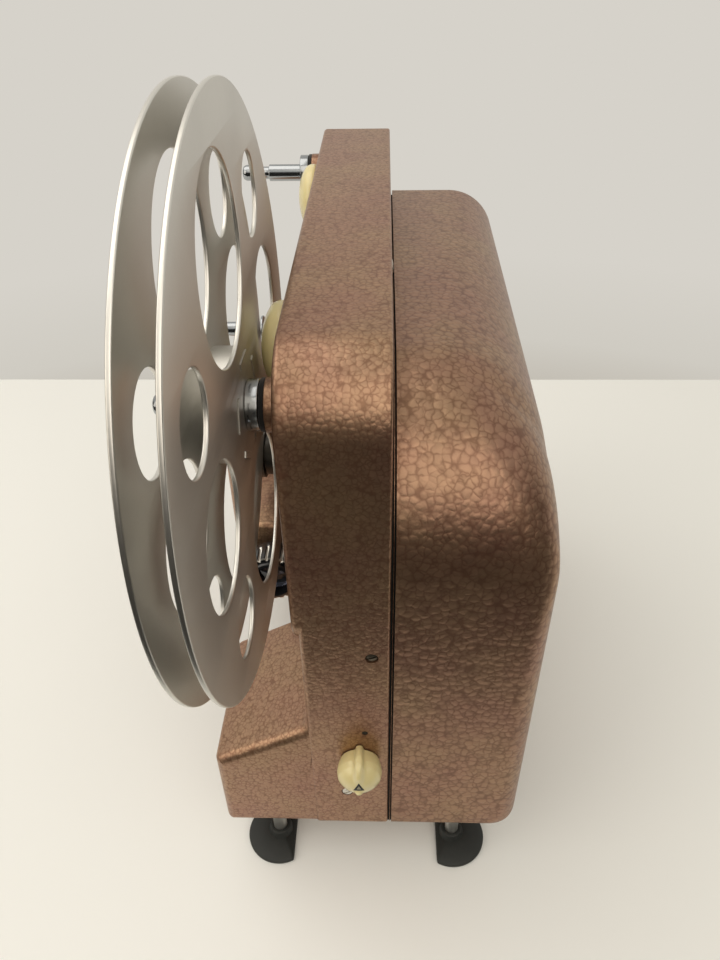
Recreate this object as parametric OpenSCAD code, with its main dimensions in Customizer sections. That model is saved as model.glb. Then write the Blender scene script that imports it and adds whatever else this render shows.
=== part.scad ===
// Home movie projector for narrow film, with one reel on its front spindle.
// Millimetres, +Z up. The lens throws its beam toward -Y. The film side is -X, the motor side +X.

/* [Body] */
// Length of the body from its front end to its rear end
body_l = 243; // [220:1:280]
// Height of the body's underside above the table
bottom_z = 26; // [22:1:32]
// Thickness of the main casting across the projector
casting_w = 31.2; // [28:0.1:38]
// Wall thickness of the main casting
casting_wall = 2.6; // [2:0.1:3.5]
// Rise of the casting's top edge toward the rear, degrees
top_tilt = 2.6; // [0:0.1:4]
// Radius of the casting's edge on the film side
edge_r = 2; // [1:0.1:2.5]
// Width of the dark joint between casting and hood
seam_gap = 1.9; // [0.8:0.1:2.5]
// Height that the film deck stands out of the casting
deck_t = 2.4; // [2.2:0.1:3]
// Height of the film deck's lower edge above the lens axis
deck_low = 21; // [20:1:24]

/* [Hood] */
// Width of the hood over the motor
hood_w = 53.1; // [50:0.1:60]
// Height of the hood's top above the table
hood_top = 228; // [218:1:235]
// Wall thickness of the hood
hood_wall = 2.4; // [1.8:0.1:3]
// Radius between the hood's front end and its top
hood_front_r = 58; // [40:1:66]
// Radius between the hood's top and its outer side
hood_side_r = 42; // [30:1:46]
// Radius of the hood's upright corners
hood_plan_r = 9; // [6:1:14]
// Radius along the hood's lower outer edge
hood_low_r = 10; // [6:1:14]
// Radius between the hood's top and its rear end
hood_rear_r = 6; // [3:1:12]

/* [Feet] */
// How far the outrigger reaches out of the casting
out_w = 38.9; // [34:0.1:44]
// Length of the outrigger along the body
out_l = 64; // [50:1:68]
// Height of the outrigger's outer edge above its underside
out_low = 45; // [36:1:50]
// Height of the outrigger where it meets the casting
out_high = 65; // [54:1:68]
// Radius of a rubber foot
pad_r = 15; // [12:0.5:16]
// Thickness of a rubber foot
pad_t = 5; // [4:0.5:7]
// Distance from a foot's centre to its straight side
pad_cut = 7; // [5:0.5:9]
// Radius of a foot's steel stem
stem_r = 3; // [2.5:0.1:4]

/* [Spindles] */
// Height of the front spindle above the table
spindle_z = 222; // [215:1:232]
// Distance of the front spindle from the front end, and radius of the corner around it
corner_r = 26; // [24:1:30]
// Distance of the rear spindle from the rear end
rear_inset = 24; // [20:1:30]
// Height of the rear spindle above the front one
spindle_rise = 20; // [12:1:21]
// Radius of a reel spindle where it carries the reel
spindle_r = 3.9; // [3.5:0.05:3.95]
// Length of the spindle that carries a reel
seat_l = 15.9; // [14:0.1:18]
// Length of the spindle's tip beyond its groove
tip_l = 10; // [6:0.5:12]
// Radius of the boss around a spindle
boss_r = 8.6; // [8:0.1:9.5]
// Length of the boss around a spindle
boss_l = 8; // [6:0.1:10]
// Thickness of the felt washer behind a reel collar
washer_t = 1.5; // [1:0.1:2.5]
// Radius of a reel collar
collar_r = 8; // [6.8:0.1:8.4]
// Length of a reel collar
collar_l = 3.4; // [2.5:0.1:4.5]

/* [Reel] */
// Diameter of the reel
reel_d = 178; // [170:1:180]
// Distance between the middles of the reel's flanges
flange_pitch = 9.6; // [9.4:0.1:11]
// Thickness of a reel flange
flange_t = 1.4; // [0.8:0.1:1.4]
// Radius of the reel's hub
hub_r = 18; // [16:0.5:19]
// Diameter of the largest holes in a flange
big_hole_d = 54; // [46:1:56]
// Diameter of the medium holes in a flange
mid_hole_d = 41; // [34:1:44]
// Diameter of the small holes in a flange
small_hole_d = 25; // [18:1:27]
// Distance of the large and medium holes from the reel's axis
hole_ring = 50; // [47:1:52]
// Distance of the small holes from the reel's axis
small_ring = 65; // [63:1:68]
// Turn of the hole pattern as the reel stands, degrees
reel_turn = 13; // [0:1:90]

/* [Knobs] */
// Radius of the domed tension knobs on the film side
dome_r = 15; // [12:0.5:15.5]
// Height of the domed tension knobs
dome_h = 9.3; // [7:0.1:10]
// Radius of the speed knob
knob_r = 8.75; // [7.5:0.25:9.5]
// Length of the speed knob out of the casting
knob_l = 11.5; // [9:0.5:14]
// Height of the speed knob's axis above the underside
knob_z = 49; // [44:1:62]
// Width of the speed knob's grip bar
grip_w = 3; // [2.5:0.1:4]

/* [Lens and gate] */
// Height of the lens axis above the table
lens_z = 117; // [114:1:118]
// Radius of the lens barrel
barrel_r = 10; // [8:0.1:10.5]
// Radius of the scalloped focusing ring
ring_r = 12; // [11:0.1:13]
// Number of scallops around the focusing ring
scallops = 22; // [12:1:24]
// Travel that opens the film gate
gate_travel = 10; // [6:1:11]

/* [Lamp house] */
// Reach of the lamp house out of the casting
lamp_reach = 51.4; // [46:0.1:56]
// Length of the lamp house along the body
lamp_l = 72; // [64:1:78]
// Height of the lamp house
lamp_h = 87; // [80:1:90]
// Sheet thickness of the lamp house
lamp_t = 1.6; // [1:0.1:2]

/* [Motor and transformer] */
// Length of the motor's iron stack
stack_l = 34; // [26:1:38]
// Half the width and height of the motor's iron stack
stack_h = 21; // [18:0.5:21.5]
// Length of the motor over its end caps
motor_l = 50; // [44:1:52]
// Radius of the cooling fan
fan_r = 20; // [15:0.5:21]
// Depth of the cooling fan
fan_l = 13; // [8:0.5:14]
// Width of the transformer across the hood
core_w = 40; // [34:0.5:42]
// Length of the transformer along the hood
core_l = 48; // [42:0.5:50]
// Height of the transformer
core_h = 42; // [36:0.5:46]

/* [Fits] */
// Radial clearance of a turning or sliding shaft in its hole
run_fit = 0.05; // [0.02:0.01:0.09]
// Clearance between a moving piece and what it passes
pass_gap = 0.5; // [0.35:0.05:0.6]

/* [Hidden] */
$fn = 64;
in_x = -casting_w + 3;
spindle_y = corner_r;
rear_y = body_l - rear_inset;
rear_z = spindle_z + spindle_rise;
reel_r = reel_d/2;
shaft_r = spindle_r + 0.6;
tip_r = spindle_r - 0.2;
face_x = -casting_w;
deck_x = face_x - deck_t;
boss_x = face_x - boss_l;
washer_x = boss_x - washer_t;
collar_x0 = washer_x - 0.1;
collar_x = collar_x0 - collar_l;
seat_x = collar_x - seat_l;
groove_x = seat_x - 3.4;
tip_x = groove_x - tip_l;
in_flange_x = collar_x - flange_t;
out_flange_x = in_flange_x - flange_pitch;
film_x = (in_flange_x + out_flange_x + flange_t)/2;
tab_t = 2;
tab_l = 10;
hood_x = seam_gap;
hood_x1 = seam_gap + hood_w;
lens_y = 56;
block_y = 71;
block_l = 46;
block_h = 38;
block_x0 = film_x - 13;
block_x1 = face_x - 1.8;
block_y1 = block_y + block_l;
gate_y = block_y1 + 2.6;
gate_t = 3;
shutter_y = gate_y + gate_t + 3.4;
shutter_t = 1;
lamp_y = shutter_y + shutter_t + 4;
lamp_x = face_x - lamp_reach;
lamp_z = lens_z - 53;
bulb_y = lamp_y + 34;
main_x = -16;
shutter_r = main_x - film_x + 4;
wheel_y = gate_y - 20;
wheel_r = 24;
worm_r = 11.4;
wheel_z = lens_z + wheel_r + worm_r + 0.6;
motor_x = seam_gap + 25.7;
motor_z = lens_z - 7;
belt_y = 80;
drive_r = 10;
motor_pulley_r = 6;
motor_y = shutter_y + shutter_t + 7;
fan_y = motor_y + motor_l + 9;
core_y = 18;
core_z = bottom_z + 14;
core_t = core_l/6;
core_win = (core_l - 3*core_t)/2;
reel_pulley_r = 10.5;
reel_groove_r = 8.5;
wheel_hub_r = 7;
belt_gap = 0.35;
dome1_y = spindle_y + 28;
dome1_z = spindle_z + 6;
dome2_y = rear_y - 27;
dome2_z = rear_z - 5;
knob_x = -casting_w*0.364;
knob_h = bottom_z + knob_z;
roll1_y = gate_y + 6;
roll1_z = spindle_z - 21;
roll2_y = gate_y;
roll2_z = lens_z - 56;
foot_y = 10;
foot_lx = face_x - out_w*0.463;
foot_rx = hood_x1 - 25.6;
foot_ry = body_l - 24;
foot_rlx = face_x + 14;
mid_x = (hood_x1 + lamp_x)/2;
mid_y = (spindle_y - reel_r + body_l)/2;
paint = "#9c7660";
shade = "#7d5d4b";
cream = "#d8c98f";
steel = "#c9ccd0";
dark = "#26272a";
alu = "#b3ab98";

// Moves the drawing so that the origin is the middle of the box it fills, on the table
module at() {
  translate([-mid_x, -mid_y, 0]) children();
}

// Round bar along X
module cx(r, x0, x1, y, z) {
  translate([x0, y, z]) rotate([0, 90, 0]) cylinder(r = r, h = x1 - x0);
}

// Round bar along Y
module cy(r, y0, y1, x, z) {
  translate([x, y0, z]) rotate([-90, 0, 0]) cylinder(r = r, h = y1 - y0);
}

// Round bar along Z
module cz(r, z0, z1, x, y) {
  translate([x, y, z0]) cylinder(r = r, h = z1 - z0);
}

// Box between two corners
module box(x0, y0, z0, x1, y1, z1) {
  translate([x0, y0, z0]) cube([x1 - x0, y1 - y0, z1 - z0]);
}

// Flat shape drawn in Y and Z, thick along X
module slab_x(x0, x1) {
  translate([x0, 0, 0]) rotate([90, 0, 90]) linear_extrude(height = x1 - x0) children();
}

// Flat shape drawn in X and Z, thick along Y
module slab_y(y0, y1) {
  translate([0, y1, 0]) rotate([90, 0, 0]) linear_extrude(height = y1 - y0) children();
}

// Flat shape drawn in X and Y, thick along Z
module slab_z(z0, z1) {
  translate([0, 0, z0]) linear_extrude(height = z1 - z0) children();
}

// What a rounded corner takes away from a square one
module corner(x, y, sx, sy, r) {
  if (r > 0) difference() {
    translate([sx > 0 ? x - 1 : x - r, sy > 0 ? y - 1 : y - r]) square(r + 1);
    translate([x + sx*r, y + sy*r]) circle(r = r);
  }
}

// Rectangle with its own radius at each corner
module rr(x0, y0, x1, y1, a, b, c, d) {
  difference() {
    translate([x0, y0]) square([x1 - x0, y1 - y0]);
    corner(x0, y0, 1, 1, a);
    corner(x1, y0, -1, 1, b);
    corner(x1, y1, -1, -1, c);
    corner(x0, y1, 1, -1, d);
  }
}

// Side outline of the casting, drawn in by d
module casting_outline(d) {
  r = corner_r - d;
  yb = body_l - d;
  union() {
    translate([spindle_y, spindle_z]) circle(r = r);
    difference() {
      polygon([
        [d, spindle_z],
        [d, bottom_z + d],
        [yb, bottom_z + d],
        [yb, spindle_z + r/cos(top_tilt) + (yb - spindle_y)*tan(top_tilt)],
        [spindle_y - r*sin(top_tilt), spindle_z + r*cos(top_tilt)],
        [spindle_y, spindle_z]]);
      corner(d, bottom_z + d, 1, 1, 4);
      corner(yb, bottom_z + d, -1, 1, 4);
    }
  }
}

// Outline of the raised film side, drawn in by d
module deck_outline(d) {
  intersection() {
    casting_outline(d);
    rr(d - 0.01, lens_z + deck_low + d, body_l - d + 0.01, rear_z + 40, 14 - d, 14 - d, 0, 0);
  }
}

// Film-side housing: one shell, open toward the hood, with bosses for both spindles
module casting() color(paint) at() difference() {
  union() {
    difference() {
      union() {
        slab_x(face_x + edge_r, 0) casting_outline(0);
        slab_x(face_x + edge_r*0.293, face_x + edge_r) casting_outline(edge_r*0.293);
        slab_x(face_x, face_x + edge_r*0.293) casting_outline(edge_r);
        slab_x(face_x, face_x + edge_r + 0.1) deck_outline(0);
      }
      slab_x(in_x, 1) casting_outline(casting_wall);
    }
    cx(boss_r, boss_x, in_x + 4, spindle_y, spindle_z);
    cx(boss_r, boss_x, in_x + 4, rear_y, rear_z);
    cx(8, face_x + 1, in_x + 4, dome1_y, dome1_z);
    cx(8, face_x + 1, in_x + 4, dome2_y, dome2_z);
    cx(6, face_x + 1, in_x + 3, wheel_y, wheel_z);
    for (p = casting_posts()) cx(4, in_x - 1, -3 - 0.1, p[0], p[1]);
    for (y = [70, 150, 205]) difference() {
      box(in_x - 1, y, bottom_z + 1, main_x + 6, y + 5, lens_z + 9);
      box(in_x - 1, y - 1, bottom_z + casting_wall, main_x + 7, y + 6, lens_z - 9);
    }
  }
  cx(6, boss_x - 1, in_x + 5, spindle_y, spindle_z);
  cx(6, boss_x - 1, in_x + 5, rear_y, rear_z);
  cx(3 + run_fit, face_x - 1, in_x + 5, dome1_y, dome1_z);
  cx(3 + run_fit, face_x - 1, in_x + 5, dome2_y, dome2_z);
  cx(3 + run_fit, face_x - 1, in_x + 4, wheel_y, wheel_z);
  for (p = casting_posts()) cx(1.6, in_x + 4, 1, p[0], p[1]);
  for (y = [70, 150, 205]) cy(3 + run_fit, y - 1, y + 6, main_x, lens_z);
  cy(3 + run_fit, -1, casting_wall + 1, knob_x, knob_h);
  for (p = screw_spots()) cy(1.7, -1, casting_wall + 1, p[0], p[1]);
  for (p = screw_spots()) cy(2.6, -1, 1.1, p[0], p[1]);
  cy(1.2, -1, 0.6, knob_x + 2.2, knob_h + 17.5);
  box(face_x - 1, shutter_y - 1.5, lens_z - shutter_r, in_x + 0.1, shutter_y + 2.5, lens_z + shutter_r);
  translate([foot_rlx, foot_ry, bottom_z - 1]) cylinder(r = stem_r, h = 12);
}

// Places of the posts that hold the mechanism plate
function casting_posts() = [[14, bottom_z + 14], [body_l - 14, bottom_z + 14],
  [body_l - 14, lens_z + 30], [14, lens_z + 30], [spindle_y + 84, spindle_z + 12]];

// Places of the two screws in the front end
function screw_spots() = [[-casting_w*0.203, lens_z + 18.5], [-casting_w*0.54, bottom_z + 26]];

// Raised film side above the lens, notched for gate, shutter and lamp house
module film_deck() color(shade) at() difference() {
  union() {
    slab_x(deck_x + edge_r, face_x) deck_outline(0);
    slab_x(deck_x + edge_r*0.293, deck_x + edge_r) deck_outline(edge_r*0.293);
    slab_x(deck_x, deck_x + edge_r*0.293) deck_outline(edge_r);
  }
  box(deck_x - 1, gate_y - pass_gap, lens_z, face_x + 1, lamp_y + lamp_l + 1, lamp_z + lamp_h + 1);
  box(deck_x - 1, shutter_y - 1.5, lens_z, face_x + 1, shutter_y + 2.5, lens_z + shutter_r);
  for (p = [[spindle_y, spindle_z], [rear_y, rear_z]]) cx(boss_r + 0.05, deck_x - 1, face_x + 1, p[0], p[1]);
  for (p = [[dome1_y, dome1_z], [dome2_y, dome2_z]]) cx(3 + run_fit, deck_x - 1, face_x + 1, p[0], p[1]);
  cx(4.6, deck_x - 1, face_x + 1, wheel_y, wheel_z);
}

// Plate that closes the casting and carries the motor
module mechanism_plate() color("#4a4b4d") at() difference() {
  slab_x(-3, 0) casting_outline(casting_wall + 0.1);
  box(-4, belt_y - 6, motor_z - 16, 1, belt_y + 6, lens_z + 16);
  box(-4, shutter_y - 1.5, lens_z - shutter_r, 1, shutter_y + 2.5, lens_z + shutter_r);
  for (p = casting_posts()) cx(1.7, -4, 1, p[0], p[1]);
}

// Side outline of the hood, drawn in by d
module hood_outline(d) {
  rr(d, bottom_z + 1 + d, body_l - d, hood_top - d, 3, 3, max(hood_rear_r - d, 1), hood_front_r - d);
}

// Body of the hood, drawn in by d on its outer faces
module hood_body(d, x0) {
  intersection() {
    slab_x(x0, hood_x1 - d) hood_outline(d);
    slab_y(-1, body_l + 1) rr(x0, bottom_z + 1 + d, hood_x1 - d, hood_top - d,
      0, hood_low_r - d/2, hood_side_r - d, 0);
    slab_z(0, hood_top + 1) rr(x0, d, hood_x1 - d, body_l - d, 0, hood_plan_r - d, hood_plan_r - d, 0);
  }
}

// Dark strip in the joint between casting and hood
module seam_gasket() color(dark) at() difference() {
  slab_x(0, seam_gap) hood_outline(1.2);
  slab_x(-1, seam_gap + 1) hood_outline(5);
}

// Hood over motor and transformer, with cooling slots at the rear and underneath
module hood() color(paint) at() difference() {
  union() {
    difference() {
      hood_body(0, hood_x);
      hood_body(hood_wall, hood_x - 1);
    }
    intersection() {
      hood_body(0.5, hood_x);
      union() {
        cz(6, bottom_z + 1, bottom_z + 12, foot_rx, foot_y);
        cz(6, bottom_z + 1, bottom_z + 12, foot_rx, foot_ry);
      }
    }
  }
  for (k = [0:8]) box(hood_x + 9, body_l - 10, lens_z + 8 + k*8, hood_x1 - 13, body_l + 1,
    lens_z + 11.5 + k*8);
  for (k = [0:7]) box(hood_x + 12, 88 + k*9, bottom_z - 1, hood_x1 - 14, 92 + k*9, bottom_z + 6);
  for (y = [60, 190]) cx(2, hood_x1 - 8, hood_x1 + 1, y, bottom_z + 22);
  box(hood_x + 15.8, body_l - 8, bottom_z + 13.8, hood_x + 38.2, body_l + 1, bottom_z + 30.2);
  cz(stem_r, bottom_z - 1, bottom_z + 11, foot_rx, foot_y);
  cz(stem_r, bottom_z - 1, bottom_z + 11, foot_rx, foot_ry);
}

// Sloped foot box at the front of the film side, hollow from below
module outrigger() color(paint) at() difference() {
  slab_y(0.8, out_l) polygon([
    [face_x, bottom_z],
    [face_x - out_w, bottom_z],
    [face_x - out_w, bottom_z + out_low - 2],
    [face_x - out_w + 0.8, bottom_z + out_low],
    [face_x - 3, bottom_z + out_high],
    [face_x, bottom_z + out_high + 4]]);
  difference() {
    slab_y(3.8, out_l - 3) polygon([
      [face_x - 3, bottom_z - 1],
      [face_x - out_w + 3, bottom_z - 1],
      [face_x - out_w + 3, bottom_z + out_low - 4],
      [face_x - 3, bottom_z + out_high - 4]]);
    cz(6, bottom_z, bottom_z + out_high, foot_lx, foot_y);
  }
  cz(stem_r, bottom_z - 1, bottom_z + 14, foot_lx, foot_y);
}

// Slotted screws in the front end
module front_screws() color(steel) at() difference() {
  for (p = screw_spots()) {
    cy(2.4, -0.5, 1, p[0], p[1]);
    cy(1.6, 0.9, casting_wall + 4, p[0], p[1]);
  }
  for (p = screw_spots()) translate([p[0], -0.6, p[1]]) rotate([0, 35, 0])
    translate([-3, -0.5, -0.35]) cube([6, 1.1, 0.7]);
}

// Screws in the hood's outer side
module hood_screws() color(steel) at() difference() {
  for (y = [60, 190]) cx(1.9, hood_x1 - 6, hood_x1 - 0.2, y, bottom_z + 22);
  for (y = [60, 190]) box(hood_x1 - 1.2, y - 3, bottom_z + 21.6, hood_x1 + 1, y + 3, bottom_z + 22.4);
}

// Painted index dot above the speed knob
module index_dot() color(dark) at() cy(1.1, 0.1, 0.6, knob_x + 2.2, knob_h + 17.5);

// Rubber foot: a disc with one straight side turned to the middle of the body
module foot_pad(x, y, turn) color(dark) at() translate([x, y, 0]) rotate([0, 0, turn]) difference() {
  union() {
    cylinder(r = pad_r, h = pad_t - 1.2);
    translate([0, 0, pad_t - 1.2]) cylinder(r1 = pad_r, r2 = pad_r - 1.2, h = 1.2);
    cylinder(r = stem_r + 2.2, h = pad_t + 2);
  }
  translate([pad_cut, -pad_r - 1, -1]) cube([pad_r, 2*pad_r + 2, pad_t + 6]);
  translate([0, 0, 2]) cylinder(r = stem_r, h = pad_t + 2);
}

module foot_pad_front_left() foot_pad(foot_lx, foot_y, 0);
module foot_pad_front_right() foot_pad(foot_rx, foot_y, 180);
module foot_pad_rear_left() foot_pad(foot_rlx, foot_ry, 0);
module foot_pad_rear_right() foot_pad(foot_rx, foot_ry, 180);

// Steel stems that the feet stand on
module foot_stems() color(steel) at() {
  cz(stem_r, 2, bottom_z + 14, foot_lx, foot_y);
  cz(stem_r, 2, bottom_z + 11, foot_rx, foot_y);
  cz(stem_r, 2, bottom_z + 11, foot_rlx, foot_ry);
  cz(stem_r, 2, bottom_z + 11, foot_rx, foot_ry);
}

// Brass bush in a spindle boss
module bush(y, z) color("#b08d3f") at() difference() {
  cx(6, boss_x, in_x + 4.6, y, z);
  cx(shaft_r + run_fit, boss_x - 1, in_x + 6, y, z);
}

// Felt washer behind a reel collar
module washer(y, z) color(dark) at() difference() {
  cx(boss_r - 0.1, washer_x, boss_x, y, z);
  cx(shaft_r + 0.4, washer_x - 1, boss_x + 1, y, z);
}

// Reel spindle: shaft in the bush, seat for the reel, groove and coned tip
module spindle(y, z) color(steel) at() union() {
  cx(shaft_r, collar_x, -4.5, y, z);
  cx(spindle_r, seat_x, collar_x, y, z);
  cx(spindle_r - 1, groove_x, seat_x, y, z);
  cx(tip_r, tip_x + 2, groove_x, y, z);
  translate([tip_x + 2, y, z]) rotate([0, -90, 0]) cylinder(r1 = tip_r, r2 = tip_r - 1.4, h = 2);
}

// Chrome collar that a reel seats against, with its slot
module collar(y, z) color(steel) at() difference() {
  cx(collar_r, collar_x, collar_x0, y, z);
  cx(shaft_r, collar_x - 1, collar_x0 + 1, y, z);
  translate([0, y, z]) rotate([100, 0, 0]) translate([collar_x - 1, -0.7, collar_r - 1.2])
    cube([collar_l*0.6 + 1, 1.4, 3]);
}

// Belt pulley on a spindle, inside the casting
module spindle_pulley(y, z) color("#6d6f70") at() difference() {
  cx(reel_pulley_r, -12, -5, y, z);
  difference() {
    cx(reel_pulley_r + 1, -10, -7, y, z);
    cx(reel_groove_r, -11, -6, y, z);
  }
  cx(shaft_r, -13, -4, y, z);
}

module front_bush() bush(spindle_y, spindle_z);
module front_washer() washer(spindle_y, spindle_z);
module front_spindle() spindle(spindle_y, spindle_z);
module front_collar() collar(spindle_y, spindle_z);
module front_pulley() spindle_pulley(spindle_y, spindle_z);
module rear_bush() bush(rear_y, rear_z);
module rear_washer() washer(rear_y, rear_z);
module rear_spindle() spindle(rear_y, rear_z);
module rear_collar() collar(rear_y, rear_z);
module rear_pulley() spindle_pulley(rear_y, rear_z);

// Outline of a reel flange with its holes
module flange_face() {
  difference() {
    circle(r = reel_r);
    circle(r = spindle_r + 0.1);
    rotate(reel_turn) {
      for (a = [0, 180]) rotate(a) translate([hole_ring, 0]) circle(d = mid_hole_d);
      for (a = [90, 270]) rotate(a) translate([hole_ring, 0]) circle(d = big_hole_d);
      for (a = [40, 140, 220, 320]) rotate(a) translate([small_ring, 0]) circle(d = small_hole_d);
      for (a = [5:72:360]) rotate(a) translate([hub_r - 2.6, 0])
        square([tab_t + 0.2, tab_l + 0.2], center = true);
    }
  }
}

// One aluminium flange of the reel
module flange(x) color(alu) at() translate([x, spindle_y, spindle_z]) rotate([90, 0, 90])
  linear_extrude(height = flange_t) flange_face();

module reel_flange_inner() flange(in_flange_x);
module reel_flange_outer() flange(out_flange_x);

// Hub between the flanges, with the tabs that hold them and the slot that takes the film's end
module reel_hub() color(alu) at() difference() {
  union() {
    cx(hub_r, out_flange_x + flange_t, in_flange_x, spindle_y, spindle_z);
    translate([out_flange_x - 0.3, spindle_y, spindle_z]) rotate([90, 0, 90])
      linear_extrude(height = flange_pitch + flange_t + 0.6) rotate(reel_turn)
      for (a = [5:72:360]) rotate(a) translate([hub_r - 2.6, 0]) square([tab_t, tab_l], center = true);
  }
  cx(spindle_r + 0.1, out_flange_x, in_flange_x + 1, spindle_y, spindle_z);
  translate([0, spindle_y, spindle_z]) rotate([reel_turn + 41, 0, 0])
    box(out_flange_x, 6, -0.8, in_flange_x + 1, hub_r + 2, 0.8);
}

// Domed tension knob with its stub shaft
module dome_knob(y, z) color(cream) at() union() {
  cap = dome_h - 3;
  ball = (dome_r*dome_r + cap*cap)/(2*cap);
  intersection() {
    translate([deck_x - dome_h + ball, y, z]) sphere(r = ball);
    cx(dome_r, deck_x - dome_h - 1, deck_x - pass_gap, y, z);
  }
  cx(3, deck_x - 1, in_x + 8, y, z);
}

module front_tension_knob() dome_knob(dome1_y, dome1_z);
module rear_tension_knob() dome_knob(dome2_y, dome2_z);

// Outline of the speed knob's pointer
module pointer_face() {
  polygon([[-2, -1.4], [2, -1.4], [0, 3.2]]);
}

// Speed knob: a domed disc with an upright grip bar
module speed_knob() color(cream) at() translate([knob_x, -pass_gap, knob_h]) rotate([90, 0, 0]) difference() {
  cap = 5;
  ball = (knob_r*knob_r + cap*cap)/(2*cap);
  union() {
    intersection() {
      translate([0, 0, knob_l - 1 - ball]) sphere(r = ball);
      cylinder(r = knob_r, h = knob_l);
    }
    translate([-grip_w/2, -knob_r + 1, 1]) cube([grip_w, 2*knob_r + 1.5, knob_l - 3]);
    translate([-grip_w/2, -knob_r*0.55, 1]) cube([grip_w, knob_r*1.1, knob_l - 1]);
    translate([0, 0.8, 1]) cylinder(r = 3.4, h = knob_l - 1);
  }
  translate([0, 0, -1]) cylinder(r = 3, h = 7);
  translate([0, 0, knob_l - 0.4]) linear_extrude(height = 2) pointer_face();
}

// Black pointer let into the end of the grip bar
module knob_pointer() color(dark) at() translate([knob_x, -pass_gap, knob_h]) rotate([90, 0, 0])
  translate([0, 0, knob_l - 0.4]) linear_extrude(height = 0.6) pointer_face();

// Shaft between the speed knob and the rheostat
module knob_shaft() color(steel) at() cy(3, -pass_gap - 6, casting_wall + 14, knob_x, knob_h);

// Rheostat that sets the motor's speed
module rheostat() color("#5b4a3a") at() difference() {
  cy(8, casting_wall, casting_wall + 12, knob_x, knob_h);
  cy(3 + run_fit, casting_wall - 1, casting_wall + 13, knob_x, knob_h);
}

// Block that carries the lens and opens the film gate by moving forward
module lens_block() color(paint) at() difference() {
  slab_y(block_y, block_y1) rr(block_x0, lens_z - block_h/2, block_x1, lens_z + block_h/2, 6, 2, 2, 6);
  cy(barrel_r + run_fit, block_y - 1, block_y1 + 1, film_x, lens_z);
  for (z = [-14, 14]) cy(2.5 + run_fit, block_y - 1, block_y1 + 1, face_x - 5.5, lens_z + z);
}

// Sprung plate that holds the film flat
module pressure_plate() color(steel) at() difference() {
  box(film_x - 7, block_y1, lens_z - 17, film_x + 7, block_y1 + 1, lens_z + 17);
  box(film_x - 3, block_y1 - 1, lens_z - 2.4, film_x + 3, block_y1 + 2, lens_z + 2.4);
}

// Lens tube
module lens_barrel() color(dark) at() difference() {
  cy(barrel_r, lens_y, block_y1 - 6, film_x, lens_z);
  cy(barrel_r - 1.8, lens_y - 1, lens_y + 16, film_x, lens_z);
  cy(barrel_r - 3.4, lens_y + 15, block_y1, film_x, lens_z);
}

// Scalloped focusing ring around the front of the tube
module focus_ring() color(dark) at() difference() {
  cy(ring_r, lens_y + 2, block_y - 2, film_x, lens_z);
  cy(barrel_r + run_fit, lens_y + 1, block_y - 1, film_x, lens_z);
  for (k = [0:scallops - 1]) translate([film_x, lens_y + 1, lens_z]) rotate([0, k*360/scallops, 0])
    translate([0, 0, ring_r + 0.9]) rotate([-90, 0, 0]) cylinder(r = 1.6, h = 9);
}

// Front and rear glass of the lens
module lens_glass() color([0.75, 0.85, 0.95, 0.5]) at() {
  intersection() {
    cy(barrel_r - 1.8, lens_y + 3, lens_y + 12, film_x, lens_z);
    translate([film_x, lens_y + 29, lens_z]) sphere(r = 25);
  }
  intersection() {
    cy(barrel_r - 3.4, block_y1 - 16, block_y1 - 7, film_x, lens_z);
    translate([film_x, block_y1 - 28, lens_z]) sphere(r = 20);
  }
}

// Fixed gate with the picture window
module gate_frame() color(dark) at() difference() {
  slab_y(gate_y, gate_y + gate_t) rr(film_x - 16, lens_z - 25, face_x, lens_z + 25, 4, 0, 0, 4);
  box(film_x - 2.4, gate_y - 1, lens_z - 1.75, film_x + 2.4, gate_y + gate_t + 1, lens_z + 1.75);
  box(film_x - 4.1, gate_y - 1, lens_z - 26, film_x + 4.1, gate_y + 0.5, lens_z + 26);
  for (z = [-14, 14]) cy(2.5, gate_y - 1, gate_y + gate_t + 1, face_x - 5.5, lens_z + z);
}

// Rods that guide the lens block
module gate_rods() color(steel) at() {
  for (z = [-14, 14]) cy(2.5, block_y1 - gate_travel - 32, gate_y + gate_t, face_x - 5.5, lens_z + z);
}

// Sheet cover over the lamp, drawn off sideways
module lamp_house() color(paint) at() difference() {
  slab_z(lamp_z, lamp_z + lamp_h) rr(lamp_x, lamp_y, face_x - pass_gap, lamp_y + lamp_l, 8, 0, 0, 8);
  slab_z(lamp_z + lamp_t, lamp_z + lamp_h - lamp_t)
    rr(lamp_x + lamp_t, lamp_y + lamp_t, face_x + 1, lamp_y + lamp_l - lamp_t,
      8 - lamp_t, 0, 0, 8 - lamp_t);
  cy(11, lamp_y - 1, lamp_y + lamp_t + 1, film_x, lens_z);
  for (k = [0:5]) box(lamp_x + 10, lamp_y + 12 + k*9, lamp_z + lamp_h - lamp_t - 1,
    face_x - 8, lamp_y + 16 + k*9, lamp_z + lamp_h + 1);
  for (k = [0:6]) box(lamp_x - 1, lamp_y + 14, lamp_z + 14 + k*9, lamp_x + lamp_t + 1,
    lamp_y + lamp_l - 14, lamp_z + 18 + k*9);
  for (k = [0:3]) box(lamp_x + 12, lamp_y + 14 + k*14, lamp_z - 1, face_x - 10, lamp_y + 19 + k*14,
    lamp_z + lamp_t + 1);
}

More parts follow.
